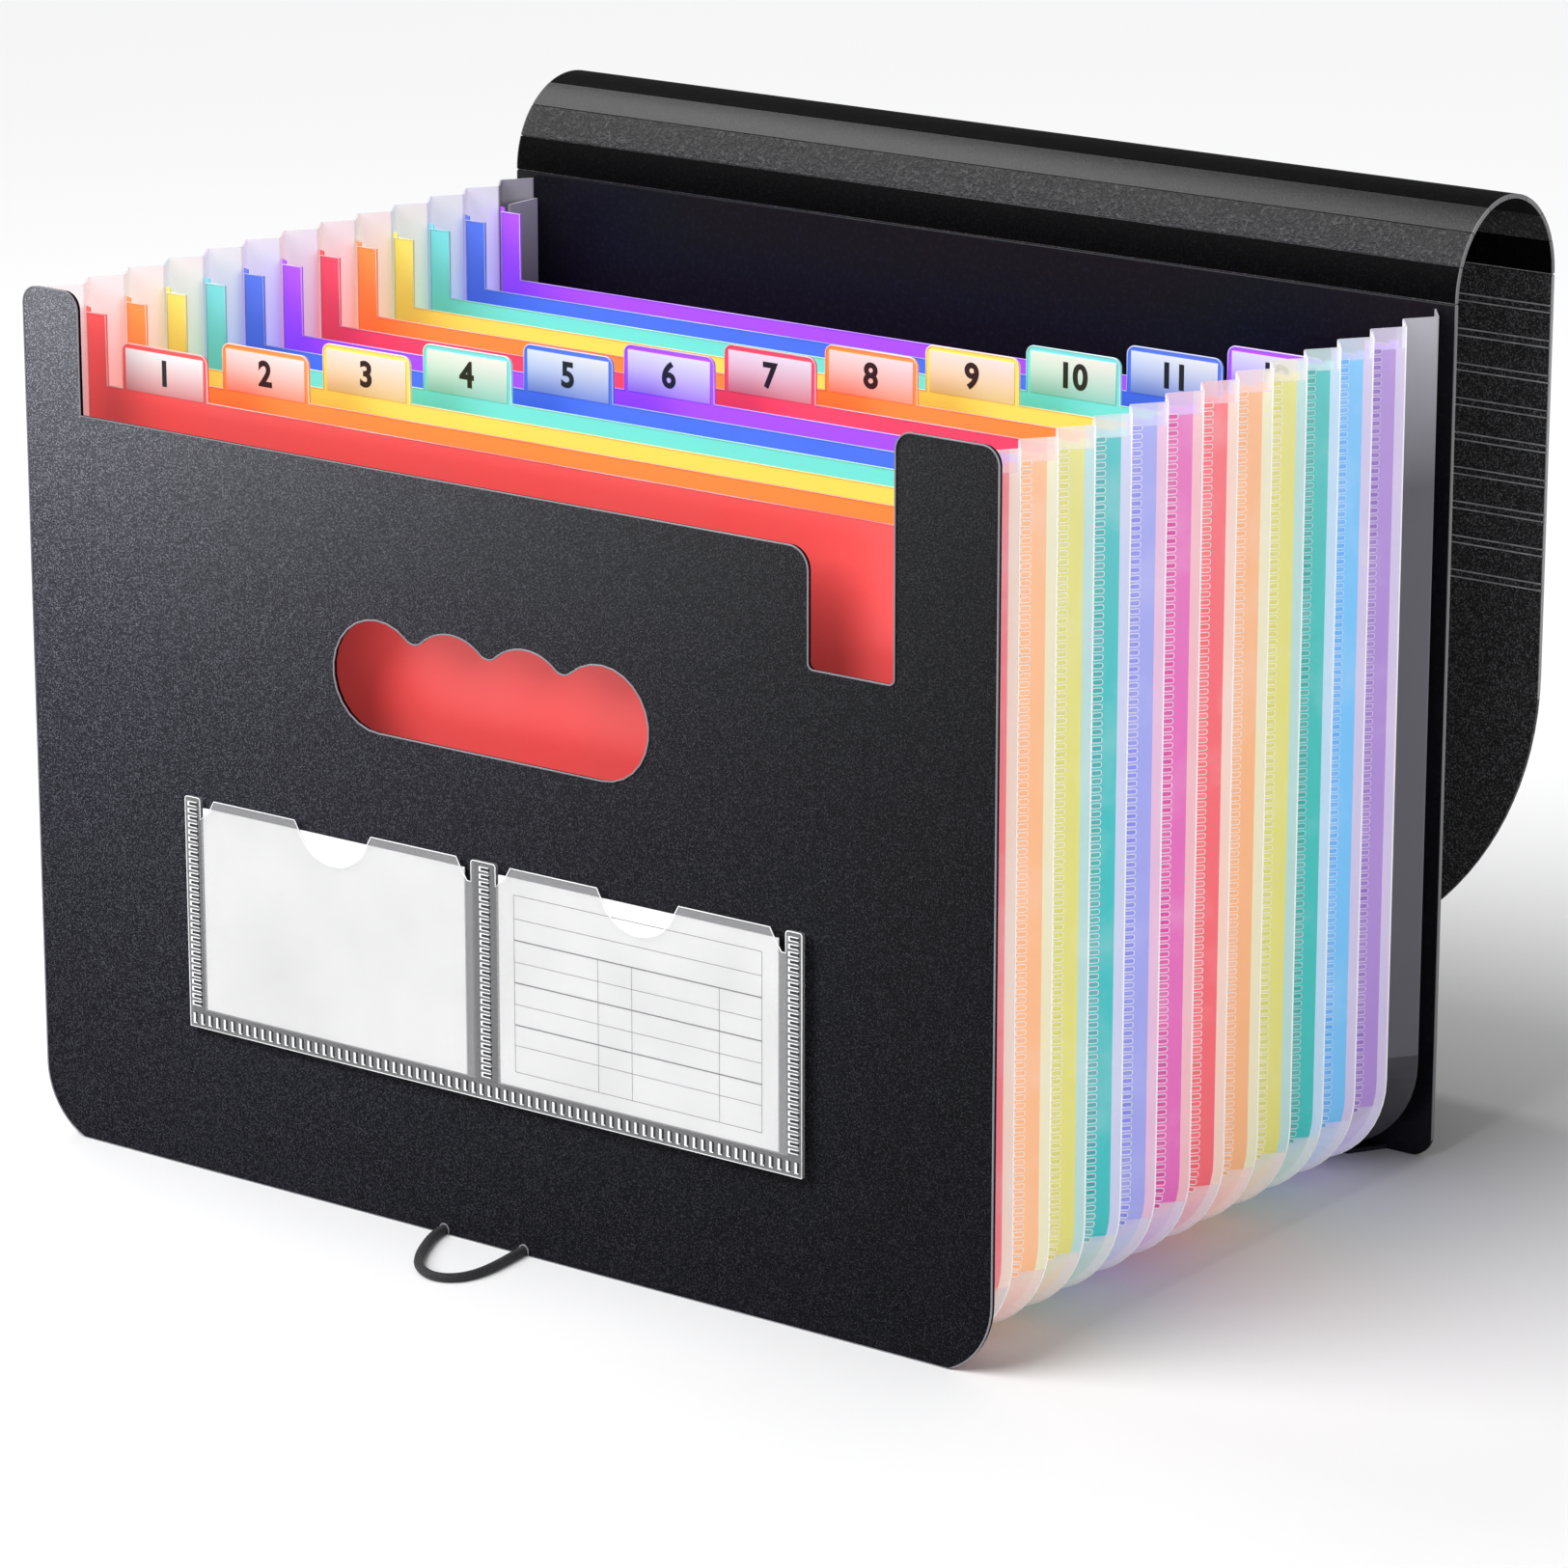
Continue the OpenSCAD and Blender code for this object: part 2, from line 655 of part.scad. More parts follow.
// The head, neck and shank stand on the face towards the back cover
module closure_button() {
    color("Black") in_place() translate([0, panel_y - cover_t / 2, button_z]) rotate([90, 0, 0]) {
        cylinder(h = neck_l, r = neck_r);
        translate([0, 0, neck_l]) cylinder(h = button_t, r = button_r);
        translate([0, 0, -cover_t - washer_t]) cylinder(h = cover_t + washer_t, r = shank_r);
    }
}

module button_washer() {
    color("Black") in_place() translate([0, panel_y + cover_t / 2, button_z]) rotate([-90, 0, 0])
        difference() {
            cylinder(h = washer_t, r = washer_r);
            translate([0, 0, -overrun]) cylinder(h = washer_t + 2 * overrun, r = shank_r + shank_gap);
        }
}

front_cover();
back_cover();
bellows_gusset();
for (k = [1 : divider_count]) divider(k);
for (k = [1 : divider_count]) tab_label(k);
for (c = [0 : colour_count - 1]) flanges(c);
for (i = [1 : flap_strips]) flap_strip(i);
flap_panel();
card_pocket();
index_card(0);  // index_card_left
index_card(1);  // index_card_right
elastic_loop();
loop_anchor();
closure_button();
button_washer();
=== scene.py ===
# Accordion file folder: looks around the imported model.
# Lengths in the dictionaries are in millimetres, y from the front cover's outer face.
import math

import bpy
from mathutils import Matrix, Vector
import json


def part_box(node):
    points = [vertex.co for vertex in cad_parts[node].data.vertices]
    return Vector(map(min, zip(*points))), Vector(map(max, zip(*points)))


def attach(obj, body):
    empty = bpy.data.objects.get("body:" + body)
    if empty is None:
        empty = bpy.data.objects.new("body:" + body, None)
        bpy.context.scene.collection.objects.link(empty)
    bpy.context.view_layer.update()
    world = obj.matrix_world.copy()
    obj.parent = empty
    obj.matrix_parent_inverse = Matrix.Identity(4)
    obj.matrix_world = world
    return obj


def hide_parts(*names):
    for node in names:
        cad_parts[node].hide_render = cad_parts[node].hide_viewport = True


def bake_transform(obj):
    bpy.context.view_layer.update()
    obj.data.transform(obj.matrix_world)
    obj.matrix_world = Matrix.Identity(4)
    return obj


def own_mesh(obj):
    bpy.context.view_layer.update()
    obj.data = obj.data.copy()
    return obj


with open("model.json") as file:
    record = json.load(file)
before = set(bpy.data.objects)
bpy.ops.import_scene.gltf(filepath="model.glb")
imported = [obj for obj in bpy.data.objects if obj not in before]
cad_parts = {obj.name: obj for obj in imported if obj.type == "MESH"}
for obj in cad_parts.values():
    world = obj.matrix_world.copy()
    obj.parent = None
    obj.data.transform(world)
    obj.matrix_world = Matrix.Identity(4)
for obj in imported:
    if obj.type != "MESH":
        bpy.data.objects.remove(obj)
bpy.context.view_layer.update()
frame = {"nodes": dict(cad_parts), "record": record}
nodes = frame["nodes"]
mm = 0.001
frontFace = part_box("front_cover")[0].y
frontBody, backBody = "front", "back"
print("frame loaded:", len(nodes), "nodes")


def at(x, y, z):
    return Vector((x * mm, frontFace + y * mm, z * mm))


def addObject(name, data):
    obj = bpy.data.objects.new(name, data)
    bpy.context.collection.objects.link(obj)
    return obj


# The camera stands where the photograph was taken; what it sees starts and ends in metres
camera = {"place": (1066.5, -1283.4, 610.6), "tilt": 73.95, "turn": 37.03, "lens": 149.5, "sensor": 36,
          "sees": (0.05, 50)}


def makeCamera():
    data = bpy.data.cameras.new("photoCamera")
    data.lens, data.sensor_width = camera["lens"], camera["sensor"]
    data.clip_start, data.clip_end = camera["sees"]
    obj = addObject("photoCamera", data)
    obj.location = at(*camera["place"])
    obj.rotation_euler = (math.radians(camera["tilt"]), 0, math.radians(camera["turn"]))
    bpy.context.scene.camera = obj


makeCamera()
print("camera placed")


# Route on the floor as in part.scad, x and y, all at the same height
elastic = {
    "diameter": 2.5, "z": 1.3, "length": 75.6, "steps": 4, "roundness": 5,
    "route": [
        (-18, 1.3), (-18, -1), (-17.4, -4.5), (-16, -8.5), (-14, -12.8), (-11.7, -17.2), (-9, -21.5),
        (-5.8, -25.4), (-1.8, -28.4), (2.6, -29.8), (6.6, -29), (9.4, -26.4), (10.9, -22.6),
        (11.4, -18.2), (11.3, -13.8), (10.9, -9.4), (10.4, -5.4), (10, -1.6), (10, 1.3)],
}


def smoothRoute(points, steps):
    # Catmull-Rom curve through the points
    ends = [points[0]] + points + [points[-1]]
    line = []
    for i in range(1, len(ends) - 2):
        a, b, c, d = (Vector(p) for p in ends[i - 1:i + 3])
        for s in range(steps):
            t = s / steps
            line.append(0.5 * (2 * b + (c - a) * t + (2 * a - 5 * b + 4 * c - d) * t * t
                               + (3 * b - a - 3 * c + d) * t * t * t))
    return line + [Vector(points[-1])]


# The finished mesh of a curve or text
def settledMesh(name, data):
    carrier = addObject(name, data)
    bpy.context.view_layer.update()
    mesh = bpy.data.meshes.new_from_object(carrier.evaluated_get(bpy.context.evaluated_depsgraph_get()))
    bpy.data.objects.remove(carrier)
    mesh.materials.clear()
    return mesh


ringGap = 1e-7


# Round tubes along lines of points, as one mesh; a line that ends where it starts is a ring
def tubeMesh(name, lines, radius, roundness=1):
    data = bpy.data.curves.new(name + "_line", "CURVE")
    data.dimensions = "3D"
    data.bevel_depth = radius * mm
    data.bevel_resolution = roundness
    data.use_fill_caps = True
    for line in lines:
        ring = (Vector(line[0]) - Vector(line[-1])).length < ringGap
        if ring:
            line = line[:-1]
        spline = data.splines.new("POLY")
        spline.points.add(len(line) - 1)
        for point, place in zip(spline.points, line):
            point.co = (*place, 1)
        spline.use_cyclic_u = ring
    mesh = settledMesh(name + "_carrier", data)
    mesh.name = name
    mesh.polygons.foreach_set("use_smooth", [True] * len(mesh.polygons))
    return addObject(name, mesh)


def makeElastic():
    line = [at(p.x, p.y, elastic["z"]) for p in smoothRoute(elastic["route"], elastic["steps"])]
    obj = tubeMesh("elastic_cord", [line], elastic["diameter"] / 2, elastic["roundness"])
    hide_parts("elastic_loop")
    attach(obj, frontBody)
    return obj


elasticCord = makeElastic()
print("elastic loop laid out")


def newGroup(name, inputs, outputs):
    group = bpy.data.node_groups.new(name, "ShaderNodeTree")
    kinds = {"float": "NodeSocketFloat", "color": "NodeSocketColor"}
    for label, kind, value in inputs:
        socket = group.interface.new_socket(name=label, in_out="INPUT", socket_type=kinds[kind])
        socket.default_value = value
    for label, kind in outputs:
        group.interface.new_socket(name=label, in_out="OUTPUT", socket_type=kinds[kind])
    return group, group.nodes.new("NodeGroupInput"), group.nodes.new("NodeGroupOutput")


# A socket takes a fixed value, or a link from another node
def feed(tree, socket, value):
    if isinstance(value, bpy.types.NodeSocket):
        tree.links.new(value, socket)
    else:
        socket.default_value = value


def mathNode(tree, operation, a, b=None, clamp=False):
    node = tree.nodes.new("ShaderNodeMath")
    node.operation = operation
    node.use_clamp = clamp
    feed(tree, node.inputs[0], a)
    if b is not None:
        feed(tree, node.inputs[1], b)
    return node.outputs[0]


def mixColor(tree, factor, a, b):
    node = tree.nodes.new("ShaderNodeMix")
    node.data_type = "RGBA"
    for socket, value in ((node.inputs["Factor"], factor), (node.inputs[6], a), (node.inputs[7], b)):
        feed(tree, socket, value)
    return node.outputs[2]


def noiseNode(tree, place, size, **sockets):
    noise = tree.nodes.new("ShaderNodeTexNoise")
    tree.links.new(place, noise.inputs["Vector"])
    feed(tree, noise.inputs["Scale"], size)
    for label, value in sockets.items():
        noise.inputs[label].default_value = value
    return noise.outputs[0]


def objectPlace(tree):
    return tree.nodes.new("ShaderNodeTexCoord").outputs["Object"]


def splitAxes(tree, vector):
    split = tree.nodes.new("ShaderNodeSeparateXYZ")
    tree.links.new(vector, split.inputs[0])
    return split.outputs


# Places a shared effect in a material with its own values
def placeGroup(tree, group, **values):
    node = tree.nodes.new("ShaderNodeGroup")
    node.node_tree = group
    for label, value in values.items():
        node.inputs[label.replace("_", " ")].default_value = value
    return node


# Sand grain of the moulded sheets: raised specks in two tones, and one plain light tone past Edge X, a painted
# highlight on the cut end
grainLook = {"detail": 3, "broken": 0.7, "broadSize": 9, "speckFrom": 0.51, "speckTo": 0.64, "relief": 0.2,
             "edgeFrom": 164.75}


def buildGrain():
    group, source, sink = newGroup(
        "sandGrain",
        [("Ground", "color", (0.02, 0.02, 0.02, 1)), ("Fleck", "color", (0.1, 0.1, 0.1, 1)),
         ("Edge", "color", (0.1, 0.1, 0.1, 1)), ("Edge X", "float", 9.0),
         ("Size", "float", 900.0), ("Spread", "float", 0.2)],
        [("Color", "color"), ("Height", "float")])
    given, place = source.outputs, objectPlace(group)
    fine = noiseNode(group, place, given["Size"], Detail=grainLook["detail"], Roughness=grainLook["broken"])
    broad = noiseNode(group, place, grainLook["broadSize"])
    speck = group.nodes.new("ShaderNodeValToRGB")
    speck.color_ramp.elements[0].position = grainLook["speckFrom"]
    speck.color_ramp.elements[1].position = grainLook["speckTo"]
    group.links.new(fine, speck.inputs[0])
    shade = mathNode(group, "MULTIPLY", broad, given["Spread"])
    mask = mathNode(group, "ADD", speck.outputs[0], shade, clamp=True)
    grain = mixColor(group, mask, given["Ground"], given["Fleck"])
    side = mathNode(group, "ABSOLUTE", splitAxes(group, place)[0])
    cut = mathNode(group, "GREATER_THAN", side, given["Edge X"])
    group.links.new(mixColor(group, cut, grain, given["Edge"]), sink.inputs["Color"])
    group.links.new(fine, sink.inputs["Height"])
    return group


# Faint cloudiness of thin plastic or paper
cloudLook = {"detail": 4, "from": 0.35, "rate": 2.2, "relief": 0.1}


def buildCloud():
    group, source, sink = newGroup(
        "cloudiness",
        [("Base", "color", (0.8, 0.8, 0.8, 1)), ("Cloud", "color", (0.7, 0.7, 0.7, 1)),
         ("Size", "float", 40.0), ("Fine", "float", 1500.0)],
        [("Color", "color"), ("Height", "float"), ("Mask", "float")])
    given, place = source.outputs, objectPlace(group)
    broad = noiseNode(group, place, given["Size"], Detail=cloudLook["detail"])
    mask = mathNode(group, "SUBTRACT", broad, cloudLook["from"])
    mask = mathNode(group, "MULTIPLY", mask, cloudLook["rate"], clamp=True)
    group.links.new(mixColor(group, mask, given["Base"], given["Cloud"]), sink.inputs["Color"])
    group.links.new(noiseNode(group, place, given["Fine"]), sink.inputs["Height"])
    group.links.new(mask, sink.inputs["Mask"])
    return group


grainGroup, cloudGroup = buildGrain(), buildCloud()


def srgb(r, g, b):
    def linear(v):
        v /= 255
        return v / 12.92 if v <= 0.04045 else ((v + 0.055) / 1.055) ** 2.4
    return (linear(r), linear(g), linear(b), 1)


def newMaterial(name, **sockets):
    material = bpy.data.materials.new(name)
    material.use_nodes = True
    shader = material.node_tree.nodes["Principled BSDF"]
    for label, value in sockets.items():
        shader.inputs[label.replace("_", " ")].default_value = value
    return material, material.node_tree, shader


def addBump(tree, shader, height, strength, distance):
    bump = tree.nodes.new("ShaderNodeBump")
    bump.inputs["Strength"].default_value = strength
    bump.inputs["Distance"].default_value = distance
    tree.links.new(height, bump.inputs["Height"])
    tree.links.new(bump.outputs[0], shader.inputs["Normal"])


def grainMaterial(name, look):
    material, tree, shader = newMaterial(name, Roughness=look["roughness"],
                                         Specular_IOR_Level=look["specular"])
    grain = placeGroup(tree, grainGroup, Ground=srgb(*look["ground"]), Fleck=srgb(*look["fleck"]),
                       Size=look["size"], Spread=look["spread"])
    # the plain edge tone is a painted highlight on the cut end of the sheet
    if "edge" in look:
        grain.inputs["Edge"].default_value = srgb(*look["edge"])
        grain.inputs["Edge X"].default_value = grainLook["edgeFrom"] * mm
    tree.links.new(grain.outputs["Color"], shader.inputs["Base Color"])
    addBump(tree, shader, grain.outputs["Height"], look["bump"], look.get("relief", grainLook["relief"]) * mm)
    return material


def cloudMaterial(name, look, **sockets):
    material, tree, shader = newMaterial(name, Roughness=look["roughness"], **sockets)
    cloud = placeGroup(tree, cloudGroup, Base=srgb(*look["base"]), Cloud=srgb(*look["cloud"]),
                       Size=look["size"], Fine=look["fine"])
    tree.links.new(cloud.outputs["Color"], shader.inputs["Base Color"])
    addBump(tree, shader, cloud.outputs["Height"], look["bump"], cloudLook["relief"] * mm)
    return material


def paint(node, material):
    nodes[node].data.materials.clear()
    nodes[node].data.materials.append(material)


cutEdges = {"joinWithin": 0.002, "sharpAngle": 50}


# Rounds the cut edges of a CAD sheet
def softenEdges(node, width, segments=2):
    weld = nodes[node].modifiers.new("joinFacets", "WELD")
    weld.merge_threshold = cutEdges["joinWithin"] * mm
    bevel = nodes[node].modifiers.new("cutEdges", "BEVEL")
    bevel.width = width * mm
    bevel.segments = segments
    bevel.limit_method = "ANGLE"
    bevel.angle_limit = math.radians(cutEdges["sharpAngle"])


def meshPiece(name, verts, faces, material, body, smooth=False):
    data = bpy.data.meshes.new(name)
    data.from_pydata([tuple(v) for v in verts], [], faces)
    data.update()
    if smooth:
        data.polygons.foreach_set("use_smooth", [True] * len(data.polygons))
    data.materials.append(material)
    obj = addObject(name, data)
    if body:
        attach(obj, body)
    return obj


outlines = {"flatWithin": 0.01, "smallestHole": 6}


# Lines of points round the front face of a CAD sheet and its larger holes
def frontOutlines(node):
    mesh, faceY = nodes[node].data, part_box(node)[0].y
    spot = [tuple(round(c, 6) for c in v.co) for v in mesh.vertices]
    uses = {}
    for p in mesh.polygons:
        if any(abs(mesh.vertices[i].co.y - faceY) > outlines["flatWithin"] * mm for i in p.vertices):
            continue
        ids = list(p.vertices)
        for a, b in zip(ids, ids[1:] + ids[:1]):
            edge = frozenset((spot[a], spot[b]))
            if len(edge) == 2:
                uses[edge] = uses.get(edge, 0) + 1
    left = {edge for edge, n in uses.items() if n == 1}
    near = {}
    rim = sorted(sorted(edge) for edge in left)
    for a, b in rim:
        near.setdefault(a, []).append(b)
        near.setdefault(b, []).append(a)
    lines = []
    for line in rim:
        if frozenset(line) not in left:
            continue
        left.discard(frozenset(line))
        while True:
            onward = [n for n in near[line[-1]] if frozenset((line[-1], n)) in left]
            if not onward:
                break
            left.discard(frozenset((line[-1], onward[0])))
            line.append(onward[0])
        if max((Vector(p) - Vector(line[0])).length for p in line) > outlines["smallestHole"] * mm:
            lines.append(line)
    return lines


# A fine bead along the cut edge, which stays above the floor; its light colour is a painted highlight
def edgeBead(name, node, radius, material, body):
    obj = tubeMesh(name, frontOutlines(node), radius)
    for vertex in obj.data.vertices:
        vertex.co.z = max(0, vertex.co.z)
    obj.data.materials.append(material)
    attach(obj, body)


def thicken(obj, thickness):
    solid = obj.modifiers.new("sheetThickness", "SOLIDIFY")
    solid.thickness = thickness * mm
    solid.offset = 0


print("shader groups built")

covers = {
    "front": {"ground": (3, 3, 5), "fleck": (28, 28, 32), "size": 2300, "spread": 0.02,
              "roughness": 0.55, "specular": 0.03, "bump": 0.5},
    "back": {"ground": (11, 11, 17), "fleck": (21, 22, 31), "size": 700, "spread": 0.1,
             "roughness": 0.36, "specular": 0.18, "bump": 0.12, "edge": (112, 112, 114)},
    "rim": {"base": (132, 132, 138), "cloud": (106, 106, 112), "size": 25, "fine": 1000,
            "roughness": 0.35, "bump": 0.1},
    "edgeRadius": 0.45, "rimRadius": 0.26,
    # the flange film below is painted lighter towards the top, where more light reaches it
    "filmTop": (206, 204, 212), "filmLow": (84, 82, 90), "filmFront": 215.28, "filmSide": 150,
    "filmFoot": 19.5, "filmFadeFrom": 196, "filmFadeOver": 46,
}
flap = {
    "fine": {"ground": (6, 6, 7), "fleck": (36, 36, 38), "size": 1500, "spread": 0.1,
             "roughness": 0.42, "specular": 0.33, "bump": 0.5, "edge": (118, 118, 120)},
    "coarseLit": {"ground": (24, 24, 25), "fleck": (66, 66, 68), "size": 820, "spread": 0.05, "relief": 1.3,
               "roughness": 0.34, "specular": 0.42, "bump": 1.0, "edge": (118, 118, 120)},
    "dark": {"ground": (3, 3, 4), "fleck": (15, 15, 16), "size": 1500, "spread": 0.1,
             "roughness": 0.5, "specular": 0.03, "bump": 0.5, "edge": (118, 118, 120)},
    "panel": {"ground": (24, 24, 25), "fleck": (108, 108, 111), "size": 1900, "spread": 0.04,
              "roughness": 0.5, "specular": 0.3, "bump": 0.6, "edge": (150, 150, 152)},
    "webLook": {"ground": (70, 70, 73), "fleck": (130, 130, 134), "size": 1400, "spread": 0.2,
                "roughness": 0.4, "specular": 0.4, "bump": 0.3},
    "lipLook": {"base": (196, 196, 199), "cloud": (128, 128, 131), "size": 320, "fine": 1400,
                "roughness": 0.4, "bump": 0.2},
    # the lit or shaded copy of the grain painted on each strip
    "stripShadeLooks": ["dark", "coarseLit", "fine", "dark", "dark", "fine", "coarseLit", "dark"],
    "strips": 8, "turn": 22.5, "thickness": 1.3, "gap": 0.3, "arcSteps": 6, "sharpAngle": 40,
    "width": 329.4, "webThickness": 0.5, "webReach": 1.0, "webRows": [-1, -0.6, -0.3, 0, 0.3, 0.6, 1],
    "bendReach": 0.45, "panelTop": 246, "panelScores": 9, "scorePitch": 10, "scorePair": 2,
    "lipRadius": 0.2, "lipSunk": 0.03,
}


# The back cover's side flanges are grey film over the black sheet, painted lighter towards the top where more
# light reaches them
def addFlangeFilm(material):
    tree = material.node_tree
    shader = tree.nodes["Principled BSDF"]
    sheet = shader.inputs["Base Color"].links[0].from_socket
    x, y, z = splitAxes(tree, objectPlace(tree))
    ahead = mathNode(tree, "LESS_THAN", y, at(0, covers["filmFront"], 0).y)
    beside = mathNode(tree, "GREATER_THAN", mathNode(tree, "ABSOLUTE", x), covers["filmSide"] * mm)
    above = mathNode(tree, "GREATER_THAN", z, covers["filmFoot"] * mm)
    film = mathNode(tree, "MULTIPLY", mathNode(tree, "MULTIPLY", ahead, beside), above)
    rise = mathNode(tree, "SUBTRACT", z, covers["filmFadeFrom"] * mm)
    share = mathNode(tree, "DIVIDE", rise, covers["filmFadeOver"] * mm, clamp=True)
    tone = mixColor(tree, share, srgb(*covers["filmLow"]), srgb(*covers["filmTop"]))
    tree.links.new(mixColor(tree, film, sheet, tone), shader.inputs["Base Color"])


coverBlack = grainMaterial("coverGrain", covers["front"])
coverInside = grainMaterial("coverSmooth", covers["back"])
addFlangeFilm(coverInside)
for node, material in [("front_cover", coverBlack), ("back_cover", coverInside)]:
    paint(node, material)
    softenEdges(node, covers["edgeRadius"])
# Painted highlight: a grey bead along the front cover's cut edge
coverRimHighlight = cloudMaterial("coverRimHighlight", covers["rim"])
edgeBead("front_cover_rim", "front_cover", covers["rimRadius"], coverRimHighlight, frontBody)
# The flap's strips are one sheet, painted as lit and shaded copies of one grain: the darkest is painted shade,
# the lightest with deeper relief a painted highlight
flapLitShadedGrains = {look: grainMaterial("flapGrain_" + look, flap[look]) for look in ["dark", "fine", "coarseLit"]}
# The score webs are painted light grey, a painted highlight along each score
webHighlight = grainMaterial("scoreHinge", flap["webLook"])
# The hanging panel is painted as a lighter copy of the flap's grain, lifting the shade it hangs in
paint("flap_panel", grainMaterial("flapInsideLit", flap["panel"]))


# The scored strips stand curved, so the thrown-back flap rolls over in one round arch
def makeStrips():
    first, last = hinges["flap_hinge_0"], hinges[f"flap_hinge_{flap['strips']}"]
    center = (first + last) / 2
    radius = (last - first).length / 2
    half = flap["thickness"] * mm / 2
    trim = flap["gap"] * mm / 2 / radius
    turn, steps = math.radians(flap["turn"]), flap["arcSteps"]
    for i, look in enumerate(flap["stripShadeLooks"], 1):
        body = f"flap_strip_{i}"
        low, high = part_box(body)
        verts, faces = [], []
        for n in range(steps + 1):
            a = math.pi - turn * (i - 1) - trim - (turn - 2 * trim) * n / steps
            for r in (radius - half, radius + half):
                for x in (low.x, high.x):
                    verts.append(center + Vector((x, r * math.cos(a), r * math.sin(a))))
        end = 4 * steps
        for b in range(0, end, 4):
            for u, v in ((0, 1), (1, 3), (3, 2), (2, 0)):
                faces.append((b + u, b + v, b + v + 4, b + u + 4))
        faces += [(0, 2, 3, 1), (end, end + 1, end + 3, end + 2)]
        strip = meshPiece(f"curved_strip_{i}", verts, faces, flapLitShadedGrains[look], body, smooth=True)
        strip.data.set_sharp_from_angle(angle=math.radians(flap["sharpAngle"]))
        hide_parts(body)


# The thin sheet left at each score, between two strips
def makeWebs():
    reach, half, bend = flap["webReach"] * mm, flap["width"] * mm / 2, flap["bendReach"] * mm
    for i in range(flap["strips"] + 1):
        joint, hinge = joints[f"flap_hinge_{i}"], hinges[f"flap_hinge_{i}"]
        lean = math.radians(flap["turn"] * i)
        along = Vector((0, math.sin(lean), math.cos(lean)))
        line = [hinge + along * reach * s for s in flap["webRows"]]
        verts = [p + Vector((x, 0, 0)) for p in line for x in (-half, half)]
        faces = [(2 * n, 2 * n + 1, 2 * n + 3, 2 * n + 2) for n in range(len(line) - 1)]
        web = meshPiece(f"score_hinge_{i}", verts, faces, webHighlight, None, smooth=True)
        thicken(web, flap["webThickness"])
        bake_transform(web)


# The raised lips of the panel's score pairs catch the light
def makeScoreLips():
    half, y = flap["width"] / 2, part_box("flap_panel")[0].y + flap["lipSunk"] * mm
    lines = []
    for n in range(1, flap["panelScores"] + 1):
        for side in (-1, 1):
            z = (flap["panelTop"] - n * flap["scorePitch"] + side * flap["scorePair"] / 2) * mm
            lines.append([Vector((-half * mm, y, z)), Vector((half * mm, y, z))])
    obj = tubeMesh("panel_score_lips", lines, flap["lipRadius"])
    obj.data.materials.append(cloudMaterial("scoreLip", flap["lipLook"]))
    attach(obj, "flap_end")


joints = {j["name"]: j for j in frame["record"]["behaviour"]["joints"]}
hinges = {name: Vector(joint["pos_m"]) for name, joint in joints.items() if "pos_m" in joint}
makeStrips()
makeWebs()
makeScoreLips()
print("covers and flap dressed")

bellows = {
    "pleats": 13, "depth": 214, "closed": 39, "out": 6, "frontY": 1.3, "foldX": 158.5, "foldZ": 8.01,
    "cornerR": 22, "top": 244, "thickness": 0.5, "outerTrim": 0.2, "weldStrip": 8,
    "topRows": [0, 3, 6], "wallSteps": 8, "cornerSteps": 12,
    "faceShares": [0, 0.05, 0.3, 0.72, 0.86, 0.96, 1], "bandFaces": 3,
    "colors": [(252, 128, 138), (250, 190, 142), (226, 222, 130), (66, 194, 196), (166, 170, 238),
               (230, 112, 190), (246, 110, 120), (248, 186, 136), (226, 222, 130), (66, 194, 190),
               (122, 198, 248), (178, 144, 216)],
    "paleTone": (0.95, 0.95, 0.97), "paleMix": 0.5, "bandAlpha": 0.96, "paleAlpha": 0.88, "behindAlpha": 0.98,
    "heart": 130, "roughness": 0.38, "specular": 0.35, "bump": 0.15, "relief": 0.1,
    # the film's inner side is painted whiter than its outer frost and glows: painted light for the light coming
    # through the film
    "film": {"frost": (232, 231, 236), "low": (238, 236, 238), "inside": (252, 251, 254), "open": 0.56,
             "zone": (22.5, 238), "patch": 0.5, "glow": 0.17, "fade": (150, 3.2, 0.32)},
    # the end pleat's grey film is painted lighter towards the top, where more light reaches it
    "endFilm": {"frost": (214, 212, 220), "low": (30, 30, 33), "inside": (178, 176, 184), "open": 1.0,
                "zone": (33, 250), "patch": 0, "glow": 0.02, "fade": (196, 14, 0.8), "tint": (84, 82, 90)},
    "lineRadius": 0.28, "lineLift": 0.05,
    "lineLook": {"base": (252, 252, 253), "cloud": (252, 252, 253), "size": 30, "fine": 900,
                 "roughness": 0.25, "bump": 0.05},
}
pleatPitch = bellows["depth"] / bellows["pleats"]
straightLength = bellows["top"] - bellows["foldZ"] - bellows["cornerR"]


# Inner fold line down one wall: base point and outward normal, x and z, at a distance from the top
def wallPoint(side, s):
    r = bellows["cornerR"]
    if s <= straightLength:
        return side * bellows["foldX"], bellows["top"] - s, side, 0
    a = (s - straightLength) / r
    if a < math.pi / 2:
        cx, cz = bellows["foldX"] - r, bellows["foldZ"] + r
        return side * (cx + r * math.cos(a)), cz - r * math.sin(a), side * math.cos(a), -math.sin(a)
    rest = s - straightLength - r * math.pi / 2
    return side * (bellows["foldX"] - r - rest), bellows["foldZ"], 0, -1


def onWall(side, s, out, y):
    x, z, nx, nz = wallPoint(side, s)
    return at(x + out * nx, y, z + out * nz)


# Down one wall, under the folder and up the other, as side and distance from the top
def wallPath():
    quarter = bellows["cornerR"] * math.pi / 2
    rows, steps, turns = bellows["topRows"], bellows["wallSteps"], bellows["cornerSteps"]
    wall = [rows[-1] + (straightLength - rows[-1]) * n / steps for n in range(1, steps)]
    corner = [straightLength + quarter * n / turns for n in range(turns + 1)]
    half = straightLength + quarter + bellows["foldX"] - bellows["cornerR"]
    down = rows + wall + corner
    return [(1, s) for s in down] + [(1, half)] + [(-1, s) for s in reversed(down)]


def mixTuple(a, b, share):
    return tuple(u + (v - u) * share for u, v in zip(a, b))


